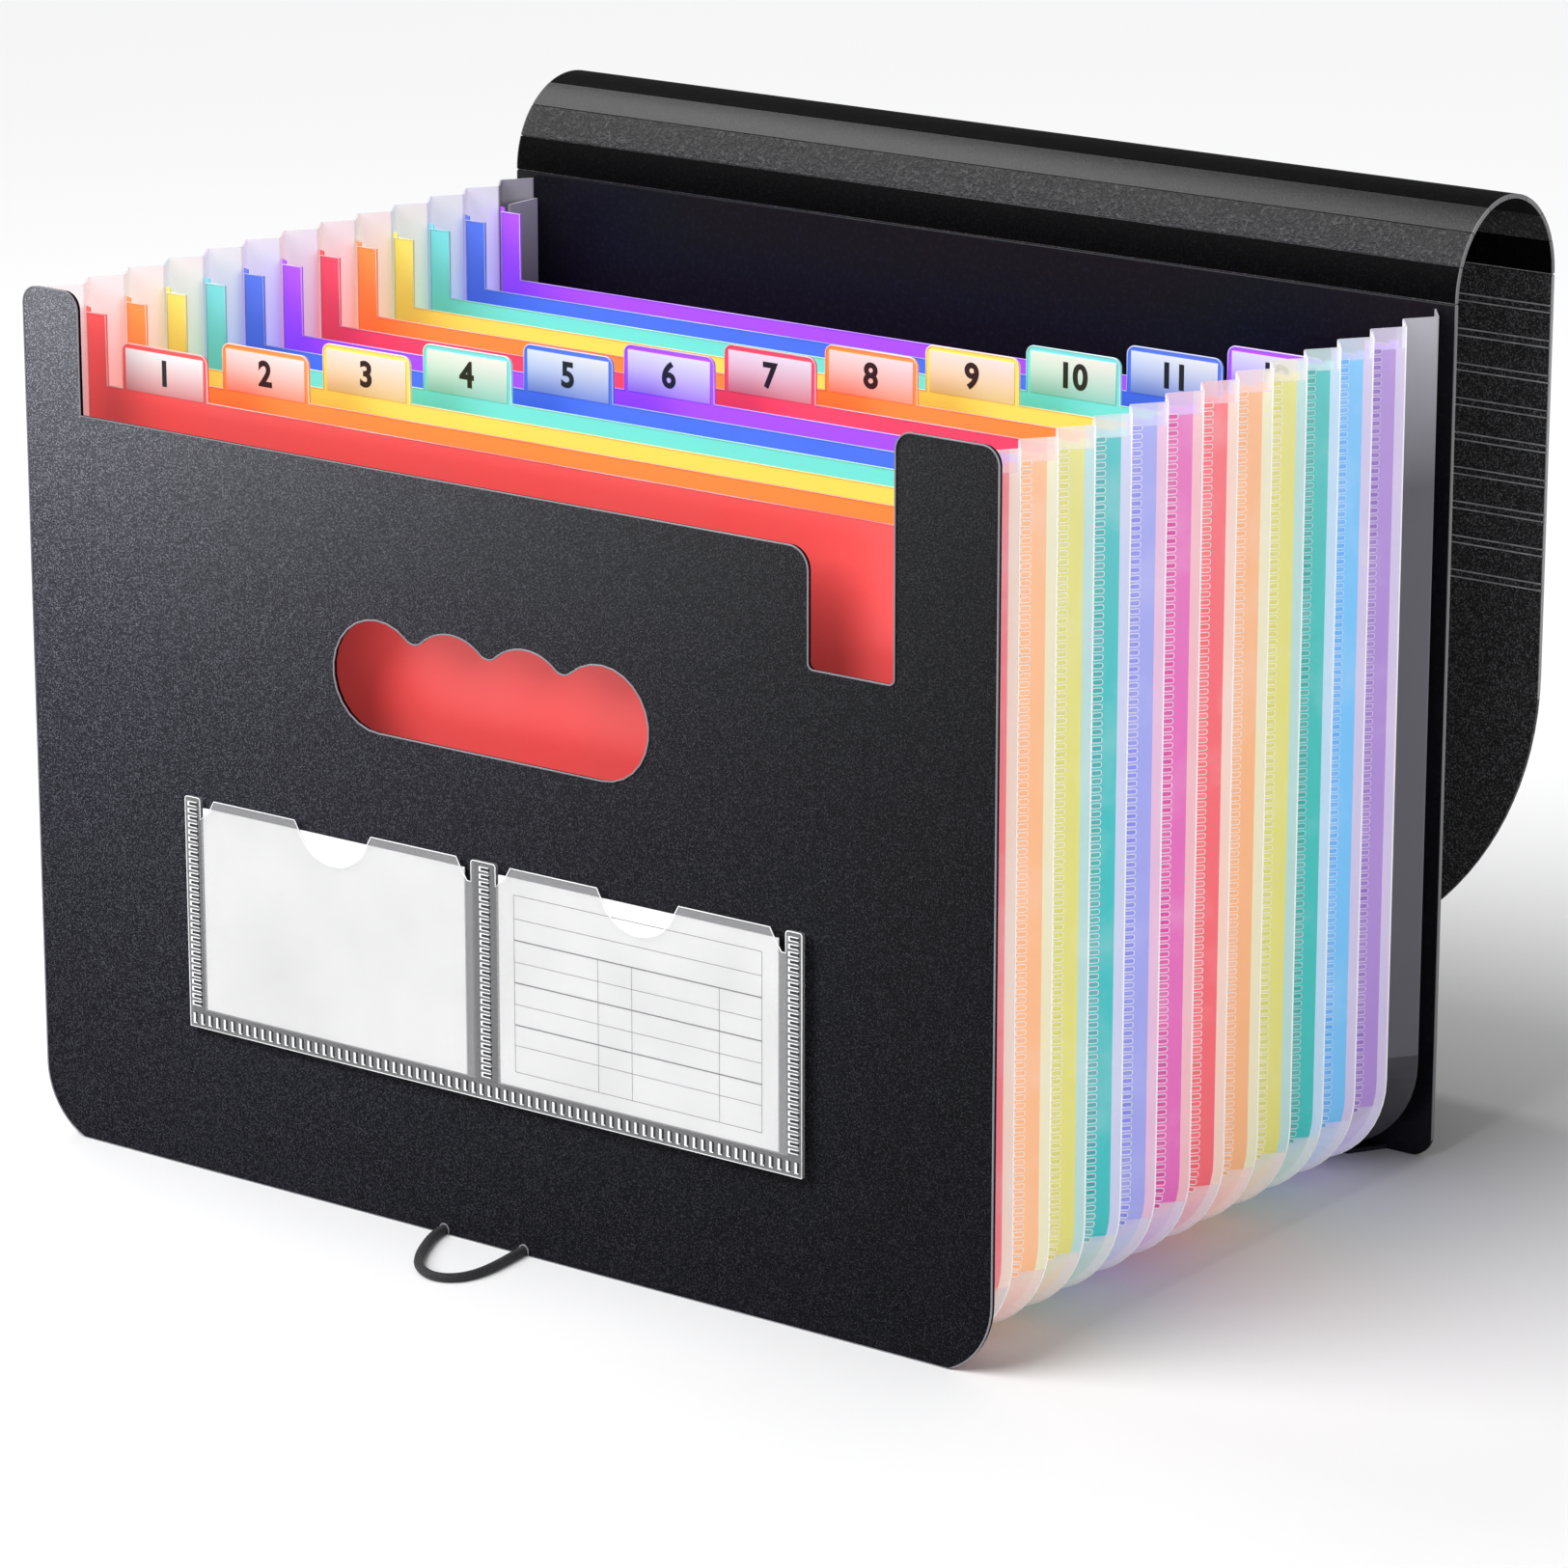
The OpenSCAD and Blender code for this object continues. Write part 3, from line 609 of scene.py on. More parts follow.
# Out and y along the folds, and the tint of the face that starts there, with its alpha
def pleatProfile(pleats):
    shares, inner = bellows["faceShares"], bellows["thickness"] / 2
    folded = [inner] + [bellows["out"] * s for s in shares[1:-1]] + [bellows["out"] - bellows["outerTrim"]]
    last = len(bellows["colors"]) - 1
    profile = []
    for j in pleats:
        y0 = bellows["frontY"] + j * pleatPitch
        if j <= last:
            band = srgb(*bellows["colors"][j])[:3]
            ahead = srgb(*bellows["colors"][min(j + 1, last)])[:3]
            pale = mixTuple(ahead, bellows["paleTone"], bellows["paleMix"])
            behind = (*pale, bellows["behindAlpha"])
            band, pale = (*band, bellows["bandAlpha"]), (*pale, bellows["paleAlpha"])
        else:
            band = pale = behind = (*srgb(*bellows["endFilm"]["tint"])[:3], bellows["endFilm"]["open"])
        for n, (s, out) in enumerate(zip(shares[:-1], folded[:-1])):
            profile.append((out, y0 + s * pleatPitch / 2, band if n < bellows["bandFaces"] else pale))
        for s, out in list(zip(shares, folded))[:0:-1]:
            profile.append((out, y0 + pleatPitch - s * pleatPitch / 2, behind))
    profile.append((inner, bellows["frontY"] + (pleats[-1] + 1) * pleatPitch, behind))
    return profile


# Frosted film: its tint shows outside from Foot to Crown, plain frost elsewhere and inside; a painted glow
# stands in for light coming through it
frosting = {"hazeSize": 45, "hazeDetail": 4, "fineSize": 1800, "patchFrom": 0.52, "patchRate": 1.6,
            "faint": 0.6, "damping": 0.5, "bandDamping": 0.3, "innerAlpha": 0.4, "drift": 0.15}


def buildFrost():
    group, source, sink = newGroup(
        "frostedSheet",
        [("Frost", "color", (0.8, 0.8, 0.8, 1)), ("Tint", "color", (0.8, 0.8, 0.8, 1)),
         ("Inside", "color", (0.9, 0.9, 0.9, 1)), ("Heart", "float", 0.13),
         ("Low Frost", "color", (0.8, 0.8, 0.8, 1)), ("Tint Alpha", "float", 0.9),
         ("Open Alpha", "float", 0.5), ("Patch", "float", 0.5), ("Fade From", "float", 0.15),
         ("Fade Rate", "float", 3.2), ("Fade Share", "float", 0.32),
         ("Foot", "float", 0.02), ("Crown", "float", 0.238)],
        [("Color", "color"), ("Glow", "color"), ("Alpha", "float"), ("Height", "float")])
    links, given, place = group.links, source.outputs, objectPlace(group)
    spot = splitAxes(group, place)
    # a face is on the outside where its normal leads away from the folder's middle line
    facing = splitAxes(group, group.nodes.new("ShaderNodeNewGeometry").outputs["True Normal"])
    height = mathNode(group, "SUBTRACT", spot[2], given["Heart"])
    away = mathNode(group, "ADD", mathNode(group, "MULTIPLY", spot[0], facing[0]),
                    mathNode(group, "MULTIPLY", height, facing[2]))
    outside = mathNode(group, "GREATER_THAN", away, 0)
    above = mathNode(group, "GREATER_THAN", spot[2], given["Foot"])
    below = mathNode(group, "LESS_THAN", spot[2], given["Crown"])
    mask = mathNode(group, "MULTIPLY", above, below)
    haze = noiseNode(group, place, frosting["hazeSize"], Detail=frosting["hazeDetail"])
    # the tint pales towards the top and in cloudy patches
    climb = mathNode(group, "SUBTRACT", spot[2], given["Fade From"])
    rise = mathNode(group, "MULTIPLY", climb, given["Fade Rate"], clamp=True)
    patch = mathNode(group, "SUBTRACT", haze, frosting["patchFrom"])
    patch = mathNode(group, "MULTIPLY", patch, frosting["patchRate"], clamp=True)
    patch = mathNode(group, "MULTIPLY", patch, given["Patch"])
    fade = mathNode(group, "ADD", mathNode(group, "MULTIPLY", rise, given["Fade Share"]), patch)
    tinted = mixColor(group, fade, given["Tint"], given["Frost"])
    plain = mixColor(group, above, given["Low Frost"], given["Frost"])
    plain = mixColor(group, mathNode(group, "MULTIPLY", haze, frosting["faint"]), plain, given["Tint"])
    outer = mixColor(group, mask, plain, tinted)
    inner = mixColor(group, above, given["Low Frost"], given["Inside"])
    links.new(mixColor(group, outside, inner, outer), sink.inputs["Color"])
    # painted glow: emission stands in for the light that comes through the film, most on its inner side
    damping = mathNode(group, "MULTIPLY", mask, frosting["bandDamping"])
    damping = mathNode(group, "ADD", damping, frosting["damping"])
    dimmed = mixColor(group, damping, outer, (0, 0, 0, 1))
    links.new(mixColor(group, outside, inner, dimmed), sink.inputs["Glow"])
    spread = mathNode(group, "SUBTRACT", given["Tint Alpha"], given["Open Alpha"])
    alpha = mathNode(group, "ADD", mathNode(group, "MULTIPLY", mask, spread), given["Open Alpha"])
    dense = mathNode(group, "MULTIPLY", mathNode(group, "SUBTRACT", 1, outside), frosting["innerAlpha"])
    alpha = mathNode(group, "ADD", alpha, dense)
    drift = mathNode(group, "MULTIPLY", mathNode(group, "SUBTRACT", haze, 0.5), frosting["drift"])
    links.new(mathNode(group, "ADD", alpha, drift, clamp=True), sink.inputs["Alpha"])
    links.new(noiseNode(group, place, frosting["fineSize"]), sink.inputs["Height"])
    return group


frostGroup = buildFrost()


def frostMaterial(name, look):
    material, tree, shader = newMaterial(name, Roughness=bellows["roughness"],
                                         Specular_IOR_Level=bellows["specular"], Emission_Strength=look["glow"])
    (foot, crown), (fadeFrom, fadeRate, fadeShare) = look["zone"], look["fade"]
    frost = placeGroup(tree, frostGroup, Frost=srgb(*look["frost"]), Low_Frost=srgb(*look["low"]),
                       Inside=srgb(*look["inside"]), Heart=bellows["heart"] * mm, Foot=foot * mm,
                       Crown=crown * mm, Open_Alpha=look["open"], Patch=look["patch"],
                       Fade_From=fadeFrom * mm, Fade_Rate=fadeRate, Fade_Share=fadeShare)
    tint = tree.nodes.new("ShaderNodeAttribute")
    tint.attribute_name = "sheetTint"
    tree.links.new(tint.outputs["Color"], frost.inputs["Tint"])
    tree.links.new(tint.outputs["Alpha"], frost.inputs["Tint Alpha"])
    tree.links.new(frost.outputs["Color"], shader.inputs["Base Color"])
    tree.links.new(frost.outputs["Glow"], shader.inputs["Emission Color"])
    tree.links.new(frost.outputs["Alpha"], shader.inputs["Alpha"])
    addBump(tree, shader, frost.outputs["Height"], bellows["bump"], bellows["relief"] * mm)
    return material


frosted = frostMaterial("frostedSheet", bellows["film"])
endFrosted = frostMaterial("endPleatSheet", bellows["endFilm"])


def addTints(obj, tints):
    tint = obj.data.attributes.new("sheetTint", "FLOAT_COLOR", "FACE")
    tint.data.foreach_set("color", [v for t in tints for v in t])


def squeeze(obj):
    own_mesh(obj)


def makeSheet(name, pleats, material, stripped):
    path, profile = wallPath(), pleatProfile(pleats)
    verts, faces, tints = [], [], []
    for side, s in path:
        verts += [onWall(side, s, out, y) for out, y, _ in profile]
    count = len(profile)
    for row in range(len(path) - 1):
        for c in range(count - 1):
            a = row * count + c
            faces.append((a, a + 1, a + count + 1, a + count))
            tints.append(profile[c][2])
    # the weld strip behind the front cover
    half, film = bellows["thickness"] / 2, bellows["film"]
    y = bellows["frontY"] + half
    for side in (1, -1) if stripped else ():
        base = len(verts)
        for s in [0, straightLength]:
            verts += [onWall(side, s, -bellows["weldStrip"], y), onWall(side, s, half, y)]
        faces.append((base, base + 1, base + 3, base + 2))
        tints.append((*srgb(*film["frost"])[:3], film["open"]))
    obj = meshPiece(name, verts, faces, material, backBody)
    addTints(obj, tints)
    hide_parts("bellows_gusset")
    thicken(obj, bellows["thickness"])
    squeeze(obj)


# White tubes along the outer folds, a painted highlight on each fold
def makeFoldLines():
    lines = []
    for j in range(bellows["pleats"] - 1):
        y = bellows["frontY"] + (j + 0.5) * pleatPitch
        lines.append([onWall(side, s, bellows["out"] + bellows["lineLift"], y) for side, s in wallPath()])
    obj = tubeMesh("bellows_fold_lines", lines, bellows["lineRadius"])
    obj.data.materials.append(cloudMaterial("foldHighlight", bellows["lineLook"]))
    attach(obj, backBody)
    squeeze(obj)


makeSheet("bellows_sheet", range(bellows["pleats"] - 1), frosted, True)
makeSheet("bellows_end_pleat", [bellows["pleats"] - 1], endFrosted, False)
makeFoldLines()
print("bellows folded")


marks = {
    "pitch": 2.2, "length": 3.1, "width": 1.75, "wire": 0.34, "start": 0.03, "above": 0.6, "below": 1.2,
    "rise": 0.2, "sunk": 0.05, "floor": 0.04, "bevel": 0.1, "corner": 0.62, "smallestCorner": 0.05,
    "cornerCut": 0.3, "light": 0.8, "faint": 0.5, "lightPleats": 9, "lightTone": (0.97, 0.95, 0.97),
    "depth": [1.15, 1.1, 1.3, 1.5, 1.5, 1.5],
    "roughness": 0.3, "cloudSize": 55, "cloudMix": 0.25, "cloudTone": (0.95, 0.95, 0.95, 1),
}


def markMaterial():
    material, tree, shader = newMaterial("weldMark", Roughness=marks["roughness"])
    tint = tree.nodes.new("ShaderNodeAttribute")
    tint.attribute_name = "sheetTint"
    cloud = placeGroup(tree, cloudGroup, Size=marks["cloudSize"])
    pale = mixColor(tree, marks["cloudMix"], tint.outputs["Color"], marks["cloudTone"])
    tree.links.new(tint.outputs["Color"], cloud.inputs["Base"])
    tree.links.new(pale, cloud.inputs["Cloud"])
    tree.links.new(cloud.outputs["Color"], shader.inputs["Base Color"])
    return material


# One ring of a rounded mark, u along the pleat's face and v down the wall
def markRing(first, inset):
    u0, u1 = first + inset, first + marks["length"] - inset
    v0, v1 = inset, marks["width"] - inset
    r = max(marks["smallestCorner"], marks["corner"] - inset)
    c = marks["cornerCut"] * r
    return [(u0 + r, v0), (u1 - r, v0), (u1 - c, v0 + c), (u1, v0 + r), (u1, v1 - r), (u1 - c, v1 - c),
            (u1 - r, v1), (u0 + r, v1), (u0 + c, v1 - c), (u0, v1 - r), (u0, v0 + r), (u0 + c, v0 + c)]


# Ladder of rounded weld marks beside every inner fold
def makeLadders():
    verts, faces, tints = [], [], []
    along = Vector((bellows["out"], pleatPitch / 2)).normalized()
    first = marks["start"] * math.hypot(bellows["out"], pleatPitch / 2)
    foot, crown = bellows["film"]["zone"]
    film, bevel, wire = bellows["thickness"] / 2, marks["bevel"], marks["wire"]
    rings = [(0, film - marks["sunk"]), (bevel, film + marks["rise"]),
             (wire - bevel, film + marks["rise"]), (wire, film + marks["floor"])]
    for side in (1, -1):
        for j in range(bellows["pleats"] - 1):
            y0 = bellows["frontY"] + j * pleatPitch
            band = srgb(*bellows["colors"][j])[:3]
            share = marks["light"] if j < marks["lightPleats"] else marks["faint"]
            light = (*mixTuple(band, marks["lightTone"], share), 1)
            deep = (*(v ** marks["depth"][j % len(marks["depth"])] for v in band), 1)
            s = bellows["top"] - crown - marks["above"]
            while wallPoint(side, s)[1] > foot - marks["below"]:
                base = len(verts)
                for inset, h in rings:
                    ring = markRing(first, inset)
                    for u, v in ring:
                        verts.append(onWall(side, s + v, along.x * u + along.y * h,
                                            y0 + along.y * u - along.x * h))
                size = len(ring)
                for r in range(len(rings) - 1):
                    for k in range(size):
                        a, b = base + size * r + k, base + size * r + (k + 1) % size
                        faces.append((a, b, b + size, a + size))
                        tints.append(light)
                faces.append(tuple(range(len(verts) - size, len(verts))))
                tints.append(deep)
                s += marks["pitch"]
    obj = meshPiece("bellows_weld_marks", verts, faces, markMaterial(), backBody)
    addTints(obj, tints)
    squeeze(obj)


makeLadders()
print("weld ladders pressed")

dividers = {
    "count": 12, "lead": 2.2, "edgeRadius": 0.18, "rimRadius": 0.24, "rimHighlightMix": 0.72,
    "colors": {"red": (240, 78, 78), "orange": (255, 146, 70), "yellow": (226, 222, 100),
               "teal": (112, 212, 224), "blue": (80, 112, 226), "purple": (180, 82, 255)},
    "seventh": (247, 74, 96), "glow": 0.22, "cloudShare": 0.92, "cloudLift": 12,
    "look": {"size": 26, "fine": 1700, "roughness": 0.36, "bump": 0.12},
    "rimLook": {"size": 20, "fine": 1200, "roughness": 0.3, "bump": 0.05},
}
sheetNames = list(dividers["colors"])


# Painted glow: the sheet gives off its own colour, standing in for light that comes through thin coloured film
# and evens out its shade
def sheetMaterial(name, color):
    cloud = tuple(min(255, int(v * dividers["cloudShare"] + dividers["cloudLift"])) for v in color)
    material = cloudMaterial(name, {"base": color, "cloud": cloud, **dividers["look"]},
                             Emission_Strength=dividers["glow"])
    tree = material.node_tree
    shader = tree.nodes["Principled BSDF"]
    tree.links.new(shader.inputs["Base Color"].links[0].from_socket, shader.inputs["Emission Color"])
    return material


sheetMaterials = {name: sheetMaterial(f"sheet_{name}", color) for name, color in dividers["colors"].items()}
sheetMaterials["seventh"] = sheetMaterial("sheet_seventh", dividers["seventh"])


# Painted highlight: the bead along a sheet's cut edge is painted paler than its face
def rimMaterial(name, color):
    pale = tuple(int(v + (255 - v) * dividers["rimHighlightMix"]) for v in color)
    return cloudMaterial(name, {"base": pale, "cloud": color, **dividers["rimLook"]})


rimHighlightMaterials = {name: rimMaterial(f"rim_{name}", color) for name, color in dividers["colors"].items()}
for k in range(1, dividers["count"] + 1):
    node, color = f"divider_{k:02d}", sheetNames[(k - 1) % len(sheetNames)]
    paint(node, sheetMaterials["seventh" if k == 7 else color])
    softenEdges(node, dividers["edgeRadius"])
    edgeBead(f"divider_rim_{k:02d}", node, dividers["rimRadius"], rimHighlightMaterials[color], node)

flanges = {
    "clear": 0.61, "wallRows": [180, 120, 60], "cornerRows": [27, 23.5, 20], "behind": 0.9, "ahead": 0.2,
    "rootX": 155.25, "reach": 2.39, "wallGap": 0.25, "thickness": 0.35,
}


# The side flanges, from behind each divider's edge to the bellows' inner fold
def makeFlanges():
    r = bellows["cornerR"] - flanges["clear"]
    cornerX, cornerZ = bellows["foldX"] - bellows["cornerR"], bellows["foldZ"] + bellows["cornerR"]
    heights = [bellows["film"]["zone"][1], *flanges["wallRows"], cornerZ, *flanges["cornerRows"]]
    for index, color in enumerate(sheetNames):
        verts, faces = [], []
        for k in range(index + 1, dividers["count"] + 1, len(sheetNames)):
            foldY = bellows["frontY"] + k * pleatPitch
            rootY, endY = foldY - dividers["lead"] + flanges["behind"], foldY - flanges["ahead"]
            for side in (1, -1):
                base = len(verts)
                for z in heights:
                    drop = max(0, cornerZ - z)
                    limit = cornerX + math.sqrt(r * r - drop * drop) - flanges["wallGap"]
                    for share in (0, 0.5, 1):
                        x = min(flanges["rootX"] + flanges["reach"] * share, limit)
                        verts.append(at(side * x, rootY + (endY - rootY) * share, z))
                for row in range(len(heights) - 1):
                    for c in range(2):
                        a = base + 3 * row + c
                        faces.append((a, a + 1, a + 4, a + 3))
        obj = meshPiece(f"flange_sheets_{color}", verts, faces, sheetMaterials[color], backBody)
        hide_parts(f"flanges_{color}")
        thicken(obj, flanges["thickness"])
        squeeze(obj)


makeFlanges()

labels = {
    "foot": 217, "top": 230, "roughness": 0.55, "paper": (0.92, 0.92, 0.93, 1), "tintFrom": 0.22,
    "tintShare": 0.6, "numberSize": 9.8, "numberBevel": 0.34, "numberLift": 0.05, "numberRelief": 0.15,
    "ink": {"base": (18, 18, 20), "cloud": (30, 30, 34), "size": 60, "fine": 2200,
            "roughness": 0.5, "bump": 0.05},
}


# A label is tinted at its foot and pales to paper at its top
def labelMaterial(color):
    name = "label_" + "_".join(str(v) for v in color)
    material, tree, shader = newMaterial(name, Roughness=labels["roughness"])
    low, high = labels["foot"] * mm, labels["top"] * mm
    rise = mathNode(tree, "SUBTRACT", splitAxes(tree, objectPlace(tree))[2], low)
    share = mathNode(tree, "DIVIDE", rise, high - low, clamp=True)
    tinted = (*(labels["tintFrom"] + labels["tintShare"] * v for v in srgb(*color)[:3]), 1)
    tree.links.new(mixColor(tree, share, tinted, labels["paper"]), shader.inputs["Base Color"])
    return material


printInk = cloudMaterial("printInk", labels["ink"])
labelMaterials = [labelMaterial(dividers["colors"][name]) for name in sheetNames]


def makeNumber(k):
    text = bpy.data.curves.new(f"tab_number_{k:02d}", "FONT")
    text.body = str(k)
    text.align_x, text.align_y = "CENTER", "CENTER"
    text.size = labels["numberSize"] * mm
    text.bevel_depth = labels["numberBevel"] * mm
    text.bevel_resolution = 1
    data = settledMesh(f"tab_number_text_{k:02d}", text)
    low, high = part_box(f"tab_label_{k:02d}")
    middle, front = (low + high) / 2, low.y - labels["numberLift"] * mm
    for vertex in data.vertices:
        x, y, z = vertex.co
        vertex.co = (middle.x + x, front - z * labels["numberRelief"], middle.z + y)
    data.materials.append(printInk)
    obj = addObject(f"tab_number_{k:02d}", data)
    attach(obj, f"divider_{k:02d}")


for k in range(1, dividers["count"] + 1):
    paint(f"tab_label_{k:02d}", labelMaterials[(k - 1) % len(sheetNames)])
    makeNumber(k)
print("dividers, flanges and labels dressed")

# Each weld column has its left side, its width, and how far its marks stand off its middle
pocket = {
    "left": -108.3, "bottom": 42.5, "width": 213.4, "frontY": -1.3, "filmTop": 109.3, "rimRadius": 0.16,
    "columns": [(-108.3, 5.4, 0), (-5.7, 8.4, 0.4), (99.9, 5.2, 0)], "columnTop": 2.6, "columnFoot": 4.4,
    "markLength": 3.5, "markWidth": 1.35, "markPitch": 2.07, "markSides": (0.252, 0.432, 0.252, 0.54),
    "rowLength": 3.1, "rowWidth": 1.3, "rowPitch": 2.8, "rowSides": (0.252, 0.1, 0.1, 0.672),
    "rowLeft": 1.2, "rowRight": 1.4, "rowFoot": 1, "markRise": 0.16, "markFloor": 0.02,
    "film": (206, 206, 208), "filmCloud": 10, "filmAlpha": 0.24, "filmDrift": 0.03,
    "filmRoughness": 0.3, "filmSpecular": 0.25,
    "rimLook": {"base": (246, 247, 249), "cloud": (232, 234, 238), "size": 40, "fine": 900,
                "roughness": 0.25, "bump": 0.05},
    "floorLook": {"base": (22, 22, 24), "cloud": (34, 34, 38), "size": 40, "fine": 900,
                  "roughness": 0.4, "bump": 0.05},
}
cards = {
    "paper": {"base": (250, 250, 249), "cloud": (248, 248, 247), "size": 35, "fine": 1400,
              "roughness": 0.7, "bump": 0.15},
    "frameInset": 5.3, "frameTop": 4.6, "rows": [0, 6.6, 12.6, 18.7, 24.5, 30.6, 36.4, 42.2, 49.7],
    "darkRows": [2, 4, 6], "uprights": [33.9, 45.3, 74.5], "uprightsFrom": 2, "thin": 0.17, "dark": 0.4,
    "lift": 0.04, "thickness": 0.02,
}


def filmMaterial():
    material, tree, shader = newMaterial("clearFilm", Roughness=pocket["filmRoughness"],
                                         Specular_IOR_Level=pocket["filmSpecular"])
    cloud = placeGroup(tree, cloudGroup, Base=srgb(*pocket["film"]),
                       Cloud=srgb(*(v - pocket["filmCloud"] for v in pocket["film"])))
    tree.links.new(cloud.outputs["Color"], shader.inputs["Base Color"])
    drift = mathNode(tree, "MULTIPLY", cloud.outputs["Mask"], pocket["filmDrift"])
    tree.links.new(mathNode(tree, "ADD", drift, pocket["filmAlpha"]), shader.inputs["Alpha"])
    return material


paint("card_pocket", filmMaterial())
cardPaper = cloudMaterial("cardPaper", cards["paper"])
for node in ["index_card_left", "index_card_right"]:
    paint(node, cardPaper)
filmRim = cloudMaterial("filmRim", pocket["rimLook"])
markFloorAndShade = cloudMaterial("markFloorAndShade", pocket["floorLook"])


# Small pressed frames with a dark floor: each box has its corners, the widths of its low, right, top
# and left side, and which of these are light; the others are painted shade in the floor's dark tone
def markFrames(boxes):
    verts, faces, heart = [], [], []
    rings = ((0, 0), (0, pocket["markRise"]), (1, pocket["markRise"]), (1, pocket["markFloor"]))
    for x0, z0, x1, z1, (low, right, top, left), light in boxes:
        base = len(verts)
        for inside, out in rings:
            for x, z in ((x0 + left * inside, z0 + low * inside), (x1 - right * inside, z0 + low * inside),
                         (x1 - right * inside, z1 - top * inside), (x0 + left * inside, z1 - top * inside)):
                verts.append(at(x, pocket["frontY"] - out, z))
        for r in range(len(rings) - 1):
            for k in range(4):
                a, b = base + 4 * r + k, base + 4 * r + (k + 1) % 4
                if not light[k]:
                    heart.append(len(faces))
                faces.append((a, b, b + 4, a + 4))
        heart.append(len(faces))
        faces.append(tuple(range(len(verts) - 4, len(verts))))
    return verts, faces, heart


def makePocketMarks():
    # column marks are painted shaded on their right side, row marks on their right and top sides
    boxes = []
    length, width = pocket["markLength"], pocket["markWidth"]
    for x, columnWidth, shift in pocket["columns"]:
        left = x + (columnWidth - length) / 2 + shift
        z = pocket["filmTop"] - pocket["columnTop"]
        while z > pocket["bottom"] + pocket["columnFoot"]:
            boxes.append((left, z, left + length, z + width, pocket["markSides"], (True, False, True, True)))
            z -= pocket["markPitch"]
    x, z = pocket["left"] + pocket["rowLeft"], pocket["bottom"] + pocket["rowFoot"]
    while x < pocket["left"] + pocket["width"] - pocket["rowRight"]:
        boxes.append((x, z, x + pocket["rowWidth"], z + pocket["rowLength"], pocket["rowSides"],
                      (True, False, False, True)))
        x += pocket["rowPitch"]
    verts, faces, heart = markFrames(boxes)
    obj = meshPiece("pocket_weld_marks", verts, faces, filmRim, frontBody)
    obj.data.materials.append(markFloorAndShade)
    for index in heart:
        obj.data.polygons[index].material_index = 1


# Thin bars printed on the right card: rows, the frame's sides, and uprights under the head
def makeCardRuling():
    low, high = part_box("index_card_right")
    left, right = low.x + cards["frameInset"] * mm, high.x - cards["frameInset"] * mm
    top = high.z - cards["frameTop"] * mm
    rows = [top - drop * mm for drop in cards["rows"]]
    thin, dark = cards["thin"] * mm / 2, cards["dark"] * mm / 2
    bars = []
    for n, z in enumerate(rows):
        half = dark if n in cards["darkRows"] else thin
        bars.append((left, z - half, right, z + half))
    bars += [(x - thin, rows[-1], x + thin, top) for x in (left, right)]
    head = rows[cards["uprightsFrom"]]
    bars += [(low.x + x * mm - thin, rows[-1], low.x + x * mm + thin, head) for x in cards["uprights"]]
    verts, faces = [], []
    front = low.y - cards["lift"] * mm
    for x0, z0, x1, z1 in bars:
        base = len(verts)
        for y in (front, front + cards["thickness"] * mm):
            verts += [(x0, y, z0), (x1, y, z0), (x1, y, z1), (x0, y, z1)]
        for f in ((0, 1, 2, 3), (7, 6, 5, 4), (0, 4, 5, 1), (1, 5, 6, 2), (2, 6, 7, 3), (3, 7, 4, 0)):
            faces.append(tuple(base + n for n in f))
    meshPiece("card_ruling", verts, faces, printInk, "card_right")


makePocketMarks()
# Painted highlight: a white bead along the pocket film's cut edge
edgeBead("pocket_rim", "card_pocket", pocket["rimRadius"], filmRim, frontBody)
makeCardRuling()
print("card pocket dressed")

closure = {
    "edgeRadius": 0.3, "edgeSegments": 3,
    "look": {"base": (20, 20, 22), "cloud": (28, 28, 31), "size": 60, "fine": 1100,
             "roughness": 0.32, "bump": 0.1},
}
mouldedBlack = cloudMaterial("mouldedBlack", closure["look"])
for node in ["loop_anchor", "closure_button", "button_washer"]:
    paint(node, mouldedBlack)
    softenEdges(node, closure["edgeRadius"], closure["edgeSegments"])

braid = {"dark": (21, 20, 26), "deep": (8, 8, 11), "size": 1900, "roughness": 0.7, "sheen": 0.1,
         "bump": 0.8, "relief": 0.3}


def elasticMaterial():
    material, tree, shader = newMaterial("elasticBraid", Roughness=braid["roughness"],
                                         Sheen_Weight=braid["sheen"])
    weave = tree.nodes.new("ShaderNodeTexVoronoi")
    weave.inputs["Scale"].default_value = braid["size"]
    tree.links.new(objectPlace(tree), weave.inputs["Vector"])
    thread = weave.outputs["Distance"]
    tone = mixColor(tree, thread, srgb(*braid["dark"]), srgb(*braid["deep"]))
    tree.links.new(tone, shader.inputs["Base Color"])
    addBump(tree, shader, thread, braid["bump"], braid["relief"] * mm)
    return material


elasticCord.data.materials.append(elasticMaterial())
print("closure parts dressed")

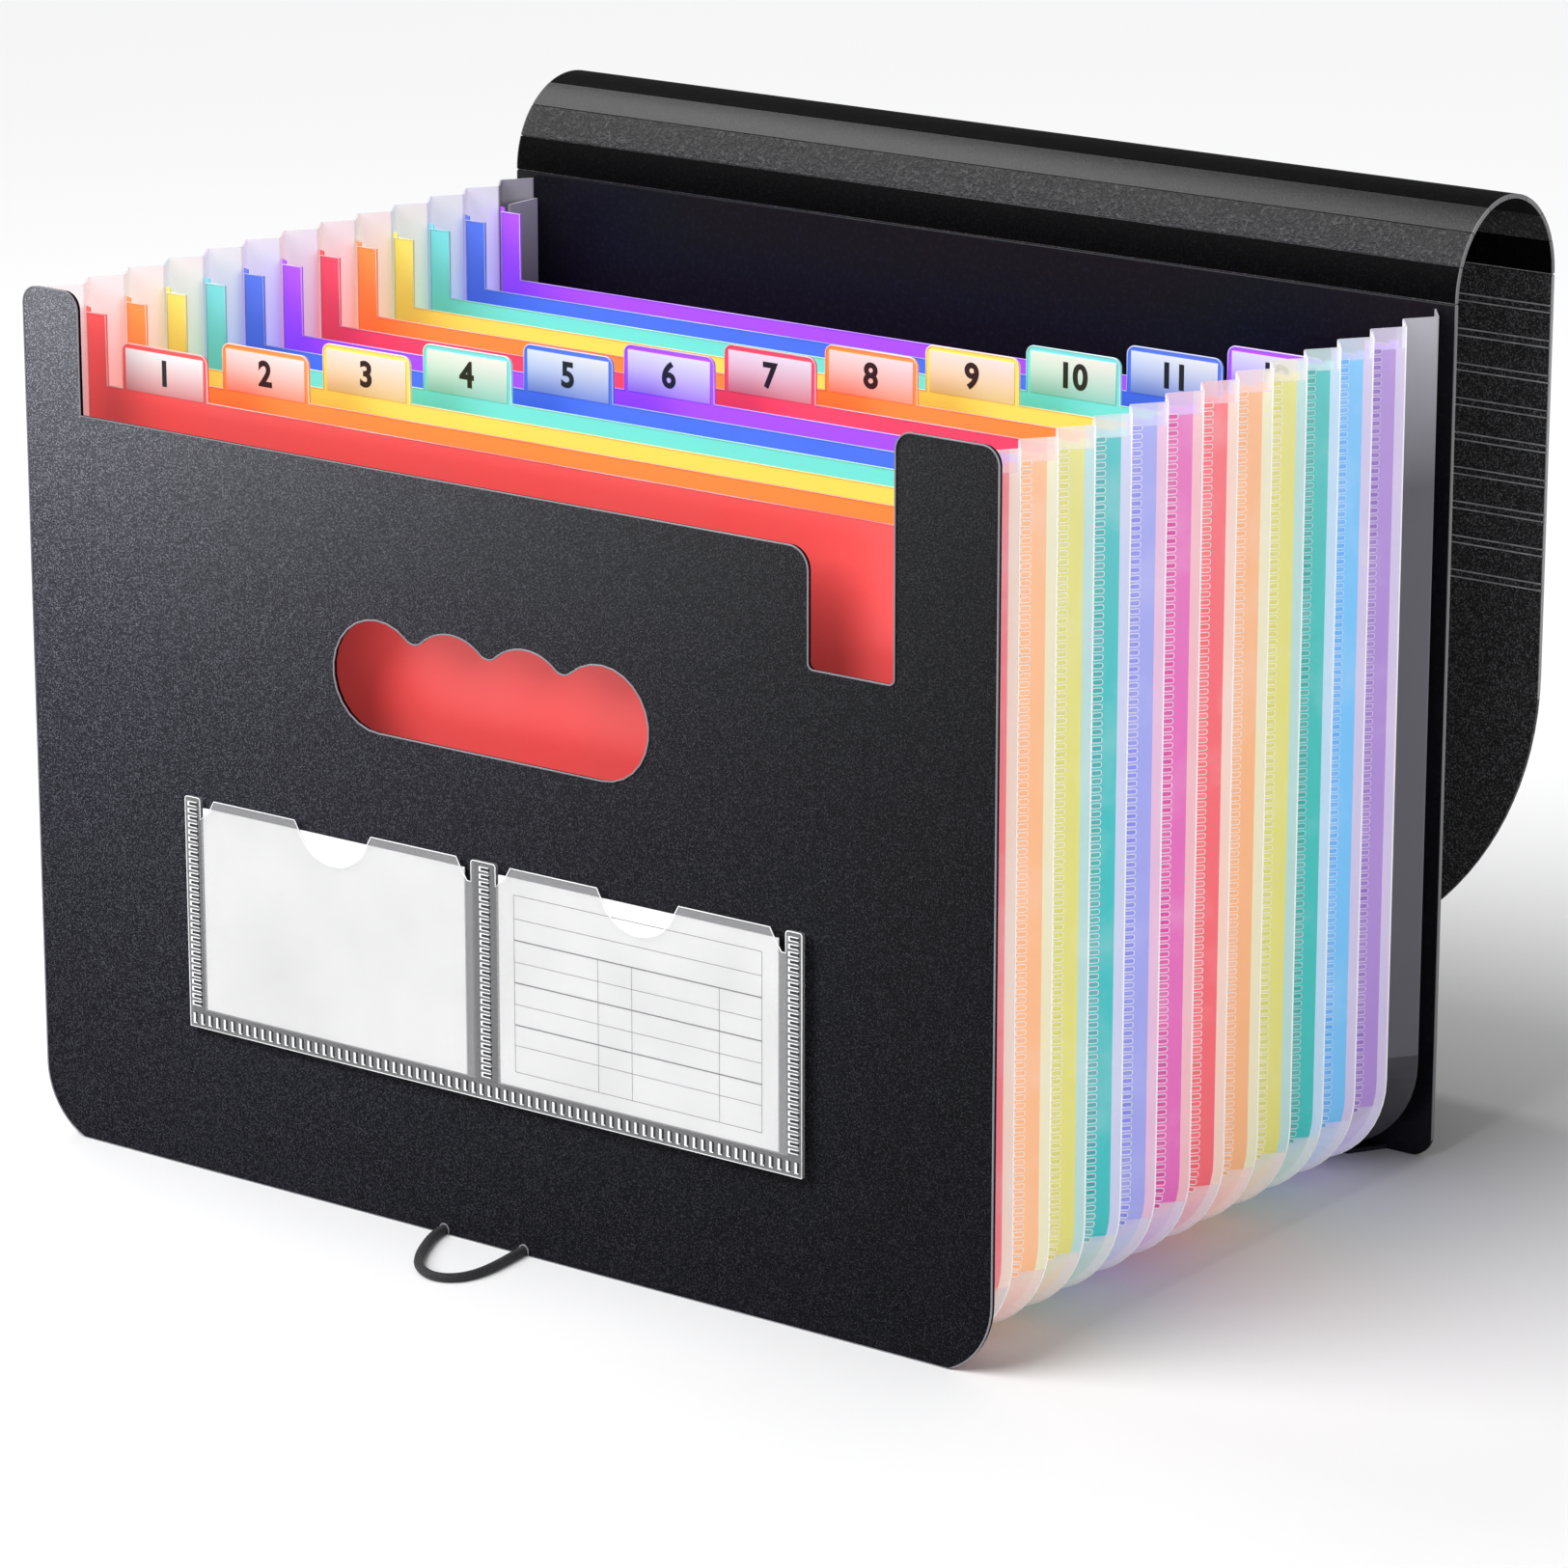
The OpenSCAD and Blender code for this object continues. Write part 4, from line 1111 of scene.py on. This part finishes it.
# The studio is laid out in metres
studio = {
    "floor": (241, 241, 242), "floorHalf": 8, "floorRoughness": 0.9, "floorSpecular": 0.1,
    "sky": 0.32, "sun": 3.3, "sunSoftness": 52, "sunFrom": (-0.36, -0.62, 0.7), "sunFar": 3,
    "side": {"place": (1.5, -0.5, 0.28), "target": (0.16, 0, 0.14), "size": 0.9, "power": 9},
    "gloss": {"place": (-0.24, -0.27, 0.28), "target": (-0.13, -0.165, 0.21), "size": 0.12, "power": 12.6},
    "top": {"place": (-0.6, 0.1, 1.0), "target": (0, 0.07, 0.26), "size": 0.5, "power": 4},
}


def makeFloor():
    data = bpy.data.meshes.new("studio_floor")
    far = studio["floorHalf"]
    data.from_pydata([(-far, -far, 0), (far, -far, 0), (far, far, 0), (-far, far, 0)], [], [(0, 1, 2, 3)])
    pale = newMaterial("paleFloor", Base_Color=srgb(*studio["floor"]), Roughness=studio["floorRoughness"],
                       Specular_IOR_Level=studio["floorSpecular"])[0]
    data.materials.append(pale)
    addObject("studio_floor", data)


def addLight(name, data, place, target):
    obj = addObject(name, data)
    obj.location = place
    obj.rotation_euler = (Vector(target) - Vector(place)).to_track_quat("-Z", "Y").to_euler()
    return obj


# A soft square light, for all or only for some pieces
def addPanel(name, panel, only=None):
    data = bpy.data.lights.new(name, "AREA")
    data.size, data.energy = panel["size"], panel["power"]
    obj = addLight(name, data, panel["place"], panel["target"])
    obj.visible_camera = False
    if only:
        lit = bpy.data.collections.new(name + "_lit")
        for piece in only:
            lit.objects.link(piece)
        obj.light_linking.receiver_collection = lit


def makeStudio():
    makeFloor()
    sun = bpy.data.lights.new("keySun", "SUN")
    sun.energy = studio["sun"]
    sun.angle = math.radians(studio["sunSoftness"])
    addLight("keySun", sun, Vector(studio["sunFrom"]) * studio["sunFar"], (0, 0, 0))
    folder = [obj for obj in bpy.data.objects if obj.type == "MESH" and obj.name != "studio_floor"]
    addPanel("sideLight", studio["side"], folder)
    addPanel("glossLight", studio["gloss"], [nodes["front_cover"]])
    addPanel("topLight", studio["top"])
    world = bpy.data.worlds.new("studioWorld")
    world.use_nodes = True
    sky = world.node_tree.nodes["Background"]
    sky.inputs["Color"].default_value = (1, 1, 1, 1)
    sky.inputs["Strength"].default_value = studio["sky"]
    bpy.context.scene.world = world
    bpy.context.scene.view_settings.view_transform = "Standard"


makeStudio()
print("studio set")
